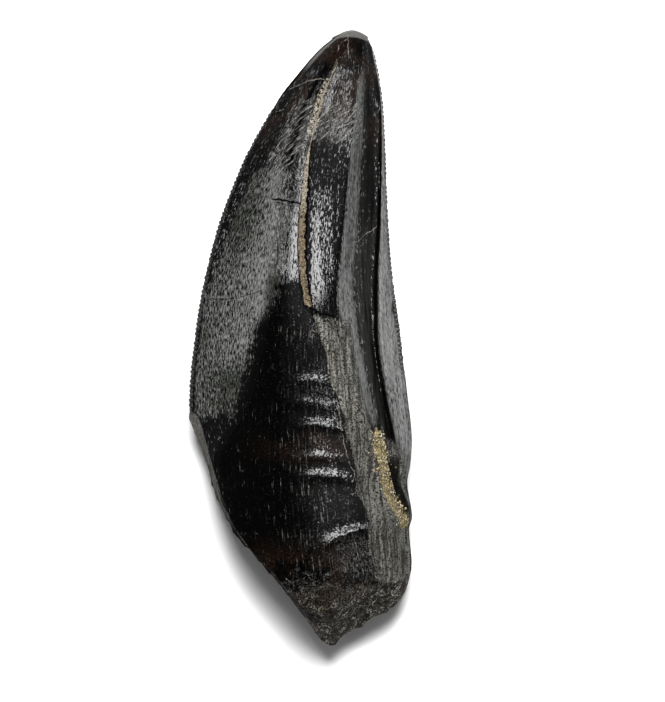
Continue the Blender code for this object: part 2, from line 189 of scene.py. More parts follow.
BREAK_UNDERCUT = Curve([(0.0, 0.0), (0.1, 1.2), (0.5, 2.4), (0.9, 1.5), (1.0, 0.0)])
BREAK_RISE = Curve([(0.0, 0.5), (0.14, 0.62), (0.45, 0.6), (0.6, 0.42), (1.0, 0.4)])
print("the break's lowest point lies at station", BREAK(np.linspace(0, 1, 200)).max().round(1))

# %% [markdown]
# ## A blank to carve
#
# A carver starts from a blank. Here it is a plain tube, made as by hand: a circle, extruded down
# the tooth in bands, each band cut into rows, and at both ends rings that step inwards. A tube
# unrolls into a flat grid, so every point knows its column around and its row down. That is why
# the tube comes first: the carving and the pattern of the enamel can both follow this grid. More
# of the columns go over the upper face, because nearly all the detail is there.

# %% Blank tube: a circle, extruded and cut
UPPER_COLUMNS = 128
UNDER_COLUMNS = 64
COLUMNS = UPPER_COLUMNS + UNDER_COLUMNS
BANDS = 5
CUTS = 88
TIP_RINGS = 5
WALL_RINGS = 22
BLANK_RADIUS = 10.0
BLANK_BAND = 15.0
INNER = 0.06  # the last ring keeps this part of the radius, so that its points stay in order


def select(data, parts, rule):
    """Selects the "verts", "edges" or "faces" of the mesh being edited for which the rule holds."""
    cage = bmesh.from_edit_mesh(data)
    for part in getattr(cage, parts):
        part.select_set(bool(rule(part)))
    cage.select_flush_mode()
    bmesh.update_edit_mesh(data)


def step_inwards(rings):
    """Extrudes the selected ring and draws it in, again and again, until little is open."""
    for ring in range(rings):
        outer = 1 - (1 - INNER) * ring / rings
        inner = 1 - (1 - INNER) * (ring + 1) / rings
        bpy.ops.mesh.extrude_region_move(TRANSFORM_OT_translate={"value": (0, 0, 0)})
        bpy.ops.transform.resize(value=(inner / outer, 1, inner / outer))


def on_outer_ring(vert):
    return math.hypot(vert.co.x, vert.co.z) > BLANK_RADIUS - 0.01


def runs_down(edge):
    return abs(edge.verts[0].co.y - edge.verts[1].co.y) > BLANK_BAND / 2


bpy.ops.object.select_all(action="DESELECT")
bpy.ops.mesh.primitive_circle_add(
    vertices=COLUMNS, radius=BLANK_RADIUS, location=(0, 0, 0), rotation=(math.pi / 2, 0, 0))
body = bpy.context.object
body.name = "tooth_body"
body.data.name = "tooth_body"
bpy.ops.object.transform_apply(location=False, rotation=True, scale=False)
bpy.ops.object.mode_set(mode="EDIT")
bpy.ops.mesh.select_mode(type="VERT")
bpy.ops.mesh.select_all(action="SELECT")
step_inwards(TIP_RINGS)
select(body.data, "verts", on_outer_ring)
for _ in range(BANDS):
    bpy.ops.mesh.extrude_region_move(TRANSFORM_OT_translate={"value": (0, -BLANK_BAND, 0)})
step_inwards(WALL_RINGS)
print("columns:", COLUMNS, "bands:", BANDS)

# %% Cut each band into rows
bpy.ops.mesh.select_mode(type="EDGE")
select(body.data, "edges", runs_down)
bpy.ops.mesh.subdivide(number_cuts=CUTS)
bpy.ops.object.mode_set(mode="OBJECT")
print("blank:", len(body.data.vertices), "points")

# %% [markdown]
# Each point reads its place on the blank: its column around the tube, the part of the way down,
# and, on the rings that close the ends, how far in it is. Columns 0 to 128 go over the upper face
# from the mesial edge to the distal edge, and the rest come back underneath.

# %% Read the grid from the blank
def read_points(data):
    flat = np.empty(len(data.vertices) * 3)
    data.vertices.foreach_get("co", flat)
    return flat.reshape(-1, 3)


def write_points(data, points):
    data.vertices.foreach_set("co", points.ravel())
    data.update()


ON_RIM = 0.001
blank = read_points(body.data)
angle = np.arctan2(blank[:, 2], blank[:, 0])
around = np.round((math.pi - angle) / math.tau * COLUMNS) % COLUMNS
down = -blank[:, 1] / (BANDS * BLANK_BAND)
inward = 1 - np.hypot(blank[:, 0], blank[:, 2]) / BLANK_RADIUS
inward = np.clip(inward / (1 - INNER), 0.0, 1.0)
inward[inward < ON_RIM] = 0.0
on_upper = around <= UPPER_COLUMNS
on_tip = (inward > 0) & (down < 0.5)
on_wall = (inward > 0) & (down > 0.5)
print("columns", int(around.max()) + 1, "wall points", int(on_wall.sum()))

# %% [markdown]
# ## Carving the form
#
# Each column of the upper face keeps to its gap between two feature lines, so the grid bends with
# the crack and the channel and they come out crisp. The rows start across the tip and turn slowly
# until the last row lies along the break. A point's station and share depend on each other, so
# they are found together, by halving the range in which the station lies.

# %% Columns follow the feature lines
EDGE_BAND = 0.022
CRACK_HALF_WIDTH = 0.3
MOST_LIP_SHARE = 0.05
UPPER_GAPS = [4, 26, 14, 12, 4, 4, 22, 16, 9, 12, 5]
assert sum(UPPER_GAPS) == UPPER_COLUMNS
GAP_STARTS = np.concatenate([[0], np.cumsum(UPPER_GAPS)])


def crack_lips(station):
    """Shares of the crack's two lips and its middle."""
    middle = crack_share(station)
    reach = np.minimum(CRACK_HALF_WIDTH / breadth(station), MOST_LIP_SHARE)
    return middle - reach, middle, middle + reach


def upper_share(column, station):
    """Share of an upper column where it crosses a station."""
    fold, crown, _, *outer = (line(station) for line in line_shares)
    edge = np.zeros(len(station))
    lines = np.stack([edge, edge + EDGE_BAND, fold, crown, *crack_lips(station), *outer, edge + 1])
    gap = np.clip(np.searchsorted(GAP_STARTS, column, side="right") - 1, 0, len(UPPER_GAPS) - 1)
    part = (column - GAP_STARTS[gap]) / np.array(UPPER_GAPS)[gap]
    every = np.arange(len(station))
    return lines[gap, every] * (1 - part) + lines[gap + 1, every] * part


def under_share(column):
    """Share of a column underneath: they crowd towards both edges."""
    return 0.5 + 0.5 * np.cos(math.pi * (column - UPPER_COLUMNS) / UNDER_COLUMNS)


print("the crack's lips at station 20:", [round(float(lip[0]), 3) for lip in crack_lips(20.0)])

# %% Where the rows lie
LENGTH = 75.0
ROW_CROWDING = 1.1  # over 1 draws the rows together towards the tip
TIP_ROUND = 0.6
TIP_FACE = 0.35
BREAK_JAG = 0.5
BREAK_JAG_SHARE = 0.028
BREAK_NICKS = 0.3
BREAK_EDGE_SHARE = 0.15
HALVINGS = 18


def off_edges(share):
    """0 on both edges, and 1 between them."""
    return fade(0.0, BREAK_EDGE_SHARE, share) * fade(0.0, BREAK_EDGE_SHARE, 1 - share)


def jag_at(share):
    """How far the break's edge jumps down or up there."""
    table = np.linspace(0, 1, 800)
    line = np.stack([table, 0 * table, 0 * table], axis=1)
    jags = BREAK_JAG * grain(line, BREAK_JAG_SHARE) + BREAK_NICKS * grain(line, BREAK_JAG_SHARE / 3)
    return np.interp(share, table, jags) * off_edges(share)


def upper_end(share):
    return BREAK(share) - BREAK_INSET(share) + jag_at(share)


def under_end(share):
    return BREAK(share) - BREAK_UNDERCUT(share)


def first_station(share):
    return TIP_FACE + TIP_ROUND * (2 * share - 1) ** 2


print("the upper face's end at shares 0.3 and 0.6:", upper_end(np.array([0.3, 0.6])).round(1))

# %% Find every point's station and share together
station = np.zeros(len(blank))
share = np.zeros(len(blank))
rows_down = np.clip(down, 0, 1) ** ROW_CROWDING
low = np.zeros(on_upper.sum())
high = np.full(on_upper.sum(), LENGTH + 1)
for _ in range(HALVINGS):
    middle = (low + high) / 2
    here = upper_share(around[on_upper], middle)
    start = first_station(here)
    row_lies = start + rows_down[on_upper] * (upper_end(here) - start)
    low, high = np.where(middle > row_lies, low, middle), np.where(middle > row_lies, middle, high)
station[on_upper], share[on_upper] = middle, here
here = under_share(around[~on_upper])
start = first_station(here)
station[~on_upper] = start + rows_down[~on_upper] * (under_end(here) - start)
share[~on_upper] = here
print("stations", np.round([station.min(), station.max()], 2))

# %% [markdown]
# The plain form first. The height of the upper face comes from a curve across, through all the
# feature lines. The underside is a portion of the edges' height, and comes down to a flat land on
# which the tooth lies. Near the tip the land rises, because the tip doesn't touch the table.

# %% The plain form
TIP_LIFT = 2.1
LAND_FROM = 13.0
FRONT = (0.75, 0.78)  # this far to the fold, the front face has risen by that part


def section_height(station, share):
    """Height of the plain upper face, which is nearly flat from the mesial edge to the fold."""
    edge = np.zeros(len(station))
    fold, *outer = (line(station) for line in line_shares)
    fold_height, *outer_heights = (line(station) for line in line_heights)
    edge_height = MESIAL_HEIGHT(station)
    front_height = edge_height + FRONT[1] * (fold_height - edge_height)
    at = [edge, FRONT[0] * fold, fold, *outer, edge + 1]
    heights = [edge_height, front_height, fold_height, *outer_heights, DISTAL_HEIGHT(station)]
    return cubic(np.stack(at), np.stack(heights), share)


def sideways(station, share):
    return MESIAL_EDGE(station) + share * breadth(station)


def under_height(station, share):
    edge = MESIAL_HEIGHT(station) * (1 - share) + DISTAL_HEIGHT(station) * share
    land = TIP_LIFT * (1 - fade(0.0, LAND_FROM, station))
    return land + (edge - land) * BELLY(share)


print("height at station 60, mm:", section_height(np.array([60.0]), np.array([0.48])))

# %% [markdown]
# ## Relief of the upper face
#
# The relief is what a palaeontologist would draw. An open crack runs from the tip down the middle.
# The enamel to its right stands up as a strip, until a chip has taken it off and the dentine
# shows. Low folds cross the crown, as they do on the real tooth where the enamel crumpled as it
# grew. The front edge is worn near the tip, and beside the channel's end lie a pit and a crust of
# sediment. Each is a small function of station and share, so each can be changed alone.

# %% Crack, strip and chip
CRACK_DEPTH = 0.4
CRACK_OPENS = (3.0, 6.0)
CRACK_ENDS = (33.3, 34.3)
CHIP_DROP = 0.4
CHIP_EDGE = (34.6, 37.2)
CHIP_RUN = 0.35
STRIP_RISE = 0.25
STRIP_STARTS = (16.0, 21.0)
STRIP_SIDE = 0.02
BASE_ROUGHENS = (63.0, 69.0)


def past_crack(station, share):
    """1 between the crack's line and the channel's rim."""
    _, middle, other_lip = crack_lips(station)
    rim = rim_share(station)
    return fade(middle, other_lip, share) * (1 - fade(rim - STRIP_SIDE, rim + STRIP_SIDE, share))


def chipped_off(station, share):
    """1 where the chip has taken the enamel, down to an edge that slants and is a little wavy."""
    waves = 0.35 * np.sin(37 * share) + 0.2 * np.sin(91 * share + 1)
    slant = fade(crack_share(station), rim_share(station), share)
    edge = CHIP_EDGE[0] + (CHIP_EDGE[1] - CHIP_EDGE[0]) * slant + waves
    return past_crack(station, share) * fade(edge, edge + CHIP_RUN, station)


def crack_width(station):
    """Width of the crack as a part of its greatest: it narrows to the tip, and is uneven."""
    uneven = 0.12 * np.sin(2.9 * station) + 0.1 * np.sin(7.3 * station + 1)
    covered = 0.65 * bell(station - 13.6, 2.4)
    return (0.26 + 0.89 * fade(8.0, 24.0, station)) * (1 + uneven) * (1 - covered)


def in_crack(station, share):
    """1 in the open crack and 0 beside it."""
    _, middle, other_lip = crack_lips(station)
    half = np.maximum(other_lip - middle, 1e-6) * crack_width(station)
    ends = fade(*CRACK_OPENS, station) * (1 - fade(*CRACK_ENDS, station))
    return (1 - fade(0.75, 1.1, np.abs(share - middle) / half)) * ends


def crack_relief(station, share):
    """The strip stands up, the chip goes down, and the crack goes down further."""
    chipped = chipped_off(station, share)
    strip = STRIP_RISE * fade(*STRIP_STARTS, station) * (past_crack(station, share) - chipped)
    bare = CHIP_DROP * chipped * (1 - fade(*BASE_ROUGHENS, station))
    return strip - bare - CRACK_DEPTH * in_crack(station, share)


print("the crack's width at stations 8 and 24:", np.round(crack_width(np.array([8.0, 24.0])), 2))

# %% Folds across the crown, worn front edge, pit and crust
# Each fold is (station, rise, share of its middle, tilt).
WRINKLES = [(42.7, 0.13, 0.57, 0.0), (43.8, 0.06, 0.55, 1.0), (45.3, 0.10, 0.54, -1.0),
            (47.9, 0.20, 0.58, 0.0), (51.6, 0.14, 0.57, 1.5), (53.8, 0.18, 0.60, 0.0),
            (60.7, 0.30, 0.70, 7.0)]
WRINKLE_WIDTH = 0.6
WRINKLE_REACH = 0.14
WRINKLE_ARCH = 0.8
FACET_WIDTH = 1.2
FACET_DROP = 0.7
FACET_END = (6.0, 9.5)
WORN_BACK = 0.25
WORN_UNTIL = 10.1
PIT_LINE = Curve([(50.0, 0.90), (52.6, 0.918), (53.6, 0.926), (56.0, 0.947), (57.8, 0.961),
                  (60.0, 0.975)])
PIT_HALF, PIT_RUN, PIT_DEPTH = 0.029, (52.2, 59.0), 1.2
CRUST_PLACE, CRUST_SIZE, CRUST_RISE, CRUST_LUMP = (53.0, 0.875), (5.5, 0.035), 0.45, 1.1
BASE_GRAIN, BASE_GRAIN_SIZE = 0.7, 1.5
BASE_GRIT, BASE_GRIT_SIZE = 0.45, 0.6


def wrinkle_relief(station, share):
    """Low transverse folds in the enamel, arched down the tooth on both sides."""
    relief = np.zeros(len(station))
    for at, rise, middle, tilt in WRINKLES:
        off_middle = (share - middle) / WRINKLE_REACH
        arched = station - WRINKLE_ARCH * off_middle * off_middle + tilt * (share - middle)
        relief += rise * bell(arched - at, WRINKLE_WIDTH) * bell(off_middle, 1)
    return relief


def tip_facet(station, x):
    """How far the worn facet lies below the skin: most on the edge, nothing at its inner rim."""
    inner = np.clip((x - MESIAL_EDGE(station)) / FACET_WIDTH, 0.0, 1.0)
    return -FACET_DROP * (1 - inner) * (1 - fade(*FACET_END, station))


def spot(station, share, place, size):
    """1 at one place, and less all around it."""
    return bell(station - place[0], size[0]) * bell(share - place[1], size[1])


def in_pit(station, share):
    """1 in the long pit between the yellow patch and the rear edge, which is painted dark as shade."""
    off_line = np.abs(share - PIT_LINE(station)) / PIT_HALF
    return between(*PIT_RUN, station, 0.7) * (1 - fade(0.6, 1.1, off_line))


print("relief of a fold, mm:", wrinkle_relief(np.array([47.9]), np.array([0.58])).round(2))


# %% Points of the finished upper face and of the underside
def upper_points(station, share):
    """Points of the finished upper face."""
    x = sideways(station, share)
    z = section_height(station, share) + crack_relief(station, share)
    z += wrinkle_relief(station, share) + tip_facet(station, x)
    z -= PIT_DEPTH * in_pit(station, share)
    crust = spot(station, share, CRUST_PLACE, CRUST_SIZE)
    lumps = 1 + grain(np.stack([x, station, 0 * x], axis=1), CRUST_LUMP)
    z += CRUST_RISE * lumps * crust
    place = np.stack([x, station, z], axis=1)
    roughening = fade(*BASE_ROUGHENS, station + 5 * (share - 0.6))
    lumps = BASE_GRAIN * grain(place, BASE_GRAIN_SIZE) + BASE_GRIT * grain(place, BASE_GRIT_SIZE)
    z += roughening * lumps
    return np.stack([x, -station, z], axis=1)


def under_points(station, share):
    return np.stack([sideways(station, share), -station, under_height(station, share)], axis=1)


print("highest point, mm:", upper_points(np.array([64.6]), np.array([0.51])).round(1))

# %% [markdown]
# ## The broken wall and the worn tip
#
# Both ends close in the same way. A ring of the blank steps inwards, half of it along the upper
# face's end and half along the underside's. In its last ring the two halves lie on one line, and
# merging the doubles closes it. Underneath there are half as many columns, so each pair of upper
# columns meets one of them.

# %% The two closed ends
BREAK_GRAIN, BREAK_GRAIN_SIZE = 0.55, 1.7
BREAK_GRIT, BREAK_GRIT_SIZE = 0.4, 0.6
WALL_FACES = np.array([[-0.9, -0.4, 0.1], [0.7, -0.7, 0.1]])


def meeting_share(column):
    """Share at which an upper column and the one below it meet in the last ring."""
    below = np.where(column <= UPPER_COLUMNS, COLUMNS - column // 2, column)
    return under_share(below)


def wall_points(share, fall):
    """Points of the broken wall: fall is 0 on its upper edge and 1 on its lower one."""
    top = upper_points(upper_end(share), share)
    foot = under_points(under_end(share), share)
    outline = BREAK(share)
    middle_height = foot[:, 2] + BREAK_RISE(share) * (top[:, 2] - foot[:, 2])
    middle = np.stack([sideways(outline, share), -outline, middle_height], axis=1)
    part = fall[:, None]
    upper_half = top + (middle - top) * np.minimum(2 * part, 1)
    points = upper_half + (foot - middle) * np.maximum(2 * part - 1, 0)
    outward = WALL_FACES[0] + (WALL_FACES[1] - WALL_FACES[0]) * share[:, None]
    rough = np.sin(math.pi * np.clip(fall, 0, 1)) ** 0.5 * off_edges(share)
    lumps = BREAK_GRAIN * grain(points, BREAK_GRAIN_SIZE) + BREAK_GRIT * grain(points, BREAK_GRIT_SIZE)
    return points + outward * (rough * lumps)[:, None]


def tip_points(share, fall):
    """Points of the worn tip: a small face that bulges a little upwards."""
    first = first_station(share)
    top, foot = upper_points(first, share), under_points(first, share)
    points = top + (foot - top) * fall[:, None]
    off_middle = 2 * share - 1
    points[:, 1] += TIP_FACE * np.sin(math.pi * fall) * np.sqrt(1 - off_middle * off_middle)
    return points


print("middle of the broken wall, mm:", wall_points(np.array([0.5]), np.array([0.5])).round(1))

# %% [markdown]
# Along both carinae the skin is set back by the height of the denticles, which are pieces of their
# own further on. Above its first denticle the mesial edge is worn back a little more.

# %% Set the edges back for the denticles
MESIAL_TEETH = (10.1, 46.6)
DISTAL_TEETH = (1.9, 42.0)
MESIAL_VALLEY = 0.13
DISTAL_VALLEY = 0.08
EDGE_REACH = 0.7


def set_back(points, station, share):
    """Draws the skin in from both edges: all of the way on the edge, nothing EDGE_REACH inside."""
    wide = breadth(station)
    serrated = fade(MESIAL_TEETH[0] - 0.4, MESIAL_TEETH[0], station)
    serrated *= 1 - fade(MESIAL_TEETH[1] - 0.2, MESIAL_TEETH[1] + 0.5, station)
    worn = WORN_BACK * (1 - fade(WORN_UNTIL - 0.6, WORN_UNTIL, station))
    mesial = np.clip(1 - share * wide / EDGE_REACH, 0.0, 1.0) * (MESIAL_VALLEY * serrated + worn)
    serrated = 1 - fade(DISTAL_TEETH[1] - 0.2, DISTAL_TEETH[1] + 0.5, station)
    distal = np.clip(1 - (1 - share) * wide / EDGE_REACH, 0.0, 1.0) * DISTAL_VALLEY * serrated
    points[:, 0] += mesial - distal
    return points


print("rows of denticles, stations:", MESIAL_TEETH, DISTAL_TEETH)

# %% Carve the blank
MM = 0.001
shift = np.array([high_corner[0] - float(DISTAL_EDGE(59.3)[0]), high_corner[1], 0.0])


def into_frame(points):
    """Puts points in millimetres where the solid of the frame is, and keeps them inside it."""
    return np.clip(points + shift, low_corner, high_corner) * MM


fall = np.where(on_upper, 0.5 * inward, 1 - 0.5 * inward)
closing_share = share + (meeting_share(around) - share) * inward
carved = np.empty_like(blank)
for chosen, points in ((on_upper, upper_points), (~on_upper, under_points)):
    carved[chosen] = points(station[chosen], share[chosen])
carved = set_back(carved, station, share)
carved[on_wall] = wall_points(closing_share[on_wall], fall[on_wall])
carved[on_tip] = tip_points(closing_share[on_tip], fall[on_tip])
write_points(body.data, into_frame(carved))
print("carved, mm:", np.round(np.ptp(carved, axis=0), 2))

# %% [markdown]
# ## Zones of the surface
#
# The same enamel looks different from place to place, so every point of the body gets a few
# numbers from 0 to 1 that say where it lies: on the satin front face, on bare dentine, on
# sediment, and so on. They are stored as attributes of the mesh, and the materials mix their
# finishes by them. A band between two curves down the tooth is enough for nearly all of them. Their
# borders wander a little, because none on the real tooth is a clean line.

# %% Helpers for zones
zones = {}


def ragged(amount, size):
    """A little wander for the borders of zones, so that none is a clean line."""
    return amount * grain(np.stack([sideways(station, share), station, 0 * share], axis=1), size)


over = np.where(on_upper & ~on_tip & ~on_wall, 1.0, 0.0)
wander = ragged(0.012, 2.5)
wander_down = 35 * wander
wavy_share, wavy_station = share + wander, station + wander_down
from_mesial, from_distal = share * breadth(station), (1 - share) * breadth(station)
fold, crack, rim, foot = (line(station) for line in (fold_share, crack_share, rim_share, foot_share))
off_crack = share - crack + 0.5 * wander
print("points of the upper face:", int(over.sum()), "greatest wander:", wander.max().round(3))

# %% Satin face, channel, facet beside the rear edge, and scuffs
SATIN_RIGHT = Curve([(10.0, 0.33), (18.4, 0.35), (25.7, 0.42), (30.0, 0.41), (33.0, 0.38),
                     (36.0, 0.31), (39.0, 0.28), (43.2, 0.245), (46.9, 0.215), (50.0, 0.18)])
BORDER = Curve([(0.0, 1.0), (14.0, 1.9), (20.0, 1.7), (28.0, 1.2), (36.0, 0.45), (50.0, 0.4)])
towards_fold = share / SATIN_RIGHT(station)
front = 1 - fade(0.84, 1.18, towards_fold + 2.2 * wander + ragged(0.05, 0.8))
inside_border = fade(-0.5, 0.8, from_mesial + 10 * wander - BORDER(station))
lower_edge = station + 1.6 * wander_down + ragged(0.5, 0.7) + 3 * share
satin = front * inside_border * fade(15.5, 18.5, wavy_station) * (1 - fade(45.6, 48.6, lower_edge))
right_face = over * between(rim - 0.004, rim + 0.074, share + 0.3 * wander, 0.022)
facet_left = foot + 0.018
facet_left += (np.maximum(PIT_LINE(station) + 0.024, facet_left) - facet_left) * fade(51.0, 53.0, station)
facet = over * fade(facet_left - 0.006, facet_left + 0.006, share) * between(3.0, 59.5, station, 0.8)
facet *= 1 - (1 - fade(0.40, 0.60, from_distal + 4 * wander)) * between(33.4, 41.6, station, 0.8)
past_end = station - 50.6 - 46.0 * (share - 0.92) + 0.6 * wander_down
facet *= 1 - between(0.0, 2.6, past_end, 0.4) * fade(49.0, 50.0, station)
scuff_ends = 14.0 + 3.5 * (1 - fade(0.30, 0.42, share))
scuffed = between(9.4, scuff_ends, wavy_station, 1.6) * between(0.20, 0.80, wavy_share, 0.07)
zones |= {"satin": over * satin, "channel": right_face * between(6.0, 48.0, wavy_station, 3.0),
          "facet": facet, "scuff": over * scuffed}
print("satin points:", int((zones["satin"] > 0.5).sum()))

# %% [markdown]
# The real enamel isn't evenly glossy. Seen closely, its gloss is left only in specks, which lie
# dense on the bright bands and folds and far apart on the black. How dense they lie is the
# **lustre**, from 0 to 1. It is laid in coats, as varnish is: each coat moves the lustre to its own
# amount inside a mask, and the later ones lie over the earlier ones.

# %% Lustre down the tooth: tip, black middle, folds and root
lustre = np.full(len(station), 0.6)
crests = np.clip(wrinkle_relief(station + 0.3, share) / 0.17, 0, 1)


def glossed(amount, mask):
    """Moves the lustre to an amount where the mask is 1."""
    lustre[:] = lustre + (amount - lustre) * mask


def beside_crack(left, right, soft, top, foot, soft_ends):
    """1 in a strip between two shares off the crack and two stations."""
    return between(left, right, off_crack, soft) * between(top, foot, wavy_station, soft_ends)


glossed(0.30, 1 - fade(9.0, 15.0, wavy_station))
glossed(0.30, between(9.0, 17.8, wavy_station, 2.0))
glossed(0.10, between(6.0, 19.0, station, 2.0) * (1 - fade(0.16, 0.26, wavy_share)))
glossed(0.07, fade(0.34, 0.46, wavy_share) * fade(30.0, 31.5, wavy_station))
glossed(0.24, between(0.49, 0.66, wavy_share, 0.03) * between(40.2, 46.0, wavy_station, 1.0))
glossed(0.60, crests * fade(38.0, 40.0, station))
glossed(0.07, fade(61.2, 63.4, wavy_station))
glossed(0.42, fade(64.0, 67.0, wavy_station))
print("mean lustre:", lustre.mean().round(3))

# %% Lustre of the bright strips on both sides of the crack
strip_from = 0.052 - 0.022 * fade(28.0, 32.0, station)
on_strip = between(22.6, 34.8, wavy_station, 1.0)
to_rim = fade(0.0, 0.02, off_crack) * (1 - fade(rim - 0.012, rim + 0.004, share))
glossed(0.62, beside_crack(-0.095, -0.016, 0.012, 12.0, 30.2, 0.9))
glossed(0.10, to_rim * between(14.0, 36.0, wavy_station, 1.5))
glossed(0.30, beside_crack(0.06, 0.17, 0.02, 19.6, 22.4, 0.6))
glossed(0.42, beside_crack(-0.165, -0.095, 0.015, 18.0, 30.2, 1.0))
glossed(0.62, between(strip_from, 0.105, off_crack, 0.010) * on_strip)
glossed(0.34, between(0.110, 0.175, off_crack, 0.012) * on_strip)
glossed(0.62, beside_crack(0.02, 0.09, 0.02, 5.5, 10.0, 1.2))
glossed(0.28, beside_crack(0.09, 0.20, 0.02, 5.5, 11.0, 1.2))
print("mean lustre:", lustre.mean().round(3))

# %% Lustre of the rim, the edges, the satin face and the channel
above_rim = fade(0.24, 0.27, off_crack) * (1 - fade(rim - 0.02, rim, share))
glossed(0.05, above_rim * (1 - fade(9.5, 12.0, station)))
glossed(0.07, 1 - fade(4.4, 5.4, wavy_station))
glossed(0.07, fade(rim + 0.055, rim + 0.085, share) * (1 - facet))
glossed(0.09, (1 - inside_border) * (1 - fade(30.0, 40.0, station)) * (1 - facet))
glossed(0.05, fade(47.0, 48.8, wavy_station) * (1 - fade(0.10, 0.20, wavy_share)))
glossed(0.06, fade(33.0, 36.0, station) * (1 - fade(0.0, 0.03, share - fold)))
low_down = fade(31.0, 36.0, station)
rising = (0.46 - 0.22 * low_down) * fade(0.1, 0.95, towards_fold)
clouds = 0.30 * spot(station, share, (22.0, 0.17), (6.0, 0.15)) + 0.06 * fade(32.0, 36.0, station)
clouds += 0.45 * spot(station, share, (43.4, 0.21), (2.6, 0.10))
glossed(np.clip(0.31 + 0.06 * low_down + rising - clouds, 0.1, 1.0), satin)
glossed(0.35 + 0.4 * fade(15.0, 45.0, station), zones["channel"])
glossed(0.6, facet)
foot_line = between(-0.025, 0.018, share - foot, 0.006)
glossed(0.42, foot_line * between(34.5, 43.5, station, 1.0) * (1 - facet))
glossed(0.27 - 0.19 * fade(0.10, 0.17, share), satin * fade(43.6, 45.0, wavy_station))
zones["lustre"] = np.where(on_upper, lustre, 0.6)
print("mean lustre:", lustre.mean().round(3))

# %% Painted glints, flecked and hollow places
# White specks of painted glint go on the strips beside the crack and low on the tooth towards the rear
# edge.
silvery = 0.75 * beside_crack(-0.165, -0.092, 0.012, 17.5, 30.2, 1.0)
silvery += beside_crack(-0.060, -0.012, 0.010, 11.0, 19.8, 1.0)
silvery += 0.3 * between(0.66, 0.86, wavy_share, 0.04) * between(61.0, 68.0, wavy_station, 1.2)
hollow = fade(rim + 0.050, rim + 0.085, share) * (1 - facet) * (0.2 + 0.8 * fade(20.0, 30.0, station))
flecked = 0.03 + 0.97 * bell(share - 0.57, 0.18) * fade(30.0, 36.0, station)
zones |= {"silvery": over * silvery, "front": over * (1 - fade(0.0, 0.02, share - fold)),
          "hollow": over * hollow * (1 - 0.85 * fade(foot - 0.03, foot - 0.005, share)),
          "flecked": over * flecked}
print("silvery points:", int((zones["silvery"] > 0.5).sum()))

# %% Bare dentine and set sediment
PATCH_MIDDLE = Curve([(48.4, 0.845), (50.8, 0.851), (52.4, 0.870), (55.0, 0.902), (57.2, 0.925),
                      (59.0, 0.947), (60.5, 0.975), (62.0, 1.0)])
PATCH_HALF = Curve([(48.4, 0.004), (49.6, 0.018), (50.8, 0.027), (52.4, 0.020), (55.0, 0.025),
                    (58.0, 0.027), (60.0, 0.020)])
off_patch = np.abs(share - PATCH_MIDDLE(station) + 0.7 * wander) - PATCH_HALF(station)
patch = (1 - fade(-0.008, 0.008, off_patch)) * between(48.4, 60.6, wavy_station, 0.4)
crumbs = 0.45 * between(-0.055, 0.02, share - crack, 0.012) * between(6.0, 13.5, station, 1.0)
below_chip = fade(crack - 0.018, crack + 0.022, share + 1.6 * wander + ragged(0.006, 0.9))
below_chip *= fade(34.8, 36.2, station + 30 * wander) * (1 - fade(rim + 0.005, rim + 0.06, share))
starts = 47.0 + 28 * np.clip(share - rim - 0.04, 0, 0.2) + wander_down
right_part = fade(starts, starts + 2.5, station) * fade(rim - 0.03, rim, share)
dentine = np.maximum.reduce([chipped_off(station, share), below_chip, right_part])
tawny = (1 - fade(0.03, 0.09, share - crack)) * (1 - fade(44.0, 50.0, station))
# The pit zone marks where the pit is painted near black: painted shade.
zones |= {"sediment": over * np.maximum.reduce([in_crack(station, share), patch, crumbs]),
          "patch": over * patch, "pit": over * in_pit(station, share),
          "dentine": np.where(on_wall, 1.0, over * dentine), "tawny": over * tawny}
print("dentine points:", int((zones["dentine"] > 0.5).sum()))

# %% The rough base, the broken wall, the bevel and the worn tip
base_starts = 4 * (share - 0.6) - 16 * np.maximum(share - 0.74, 0)
base = fade(63.5, 69.5, wavy_station + ragged(1.6, 3.0) + base_starts)
worn_side = (1 - fade(0.95, 1.2, from_mesial)) * (1 - fade(3.4, 5.6, station))
worn_top = 1 - fade(0.6, 0.8, station - first_station(share))
bevel = np.where(on_wall, (1 - fade(0.13, 0.2, share)) * (1 - fade(0.45, 0.6, fall)), 0.0)
on_bevel = 0.5 * over * fade(-1.1, -0.7, station - upper_end(share)) * (1 - fade(0.11, 0.15, share))
# The wall zone sets how much lighter the broken wall is painted, most on its right: painted light for the
# shade it lies in.
zones |= {"base": np.where(on_wall, 1.0, over * base), "bevel": np.maximum(bevel, on_bevel),
          "wall": np.where(on_wall, 0.06 + 0.8 * fade(0.56, 0.84, share), 0.0),
          "wear": np.where(on_tip, 1.0, over * np.maximum(worn_side, worn_top))}
print({name: round(float(zone.mean()), 3) for name, zone in zones.items()})

# %% Store the zones and a pattern map on the body
for name, zone in zones.items():
    layer = body.data.attributes.new(name, "FLOAT", "POINT")
    layer.data.foreach_set("value", np.clip(zone, 0.0, 1.0))

MAP_WIDTH = 25.0
map_across = np.where(on_upper, share, 2 - share) * MAP_WIDTH
corner_point = np.empty(len(body.data.loops), dtype=int)
body.data.loops.foreach_get("vertex_index", corner_point)
corner_face = np.repeat(np.arange(len(body.data.polygons)), 4)
face_on_seam = np.zeros(len(body.data.polygons), dtype=bool)
np.logical_or.at(face_on_seam, corner_face, around[corner_point] == COLUMNS - 1)
at_seam = face_on_seam[corner_face] & (around[corner_point] == 0)
corners = np.stack([map_across[corner_point], station[corner_point]], axis=1)
corners[at_seam, 0] = 2 * MAP_WIDTH
grain_map = body.data.uv_layers.new(name="grain")
grain_map.uv.foreach_set("vector", corners.ravel())
print("map corners:", len(corners))

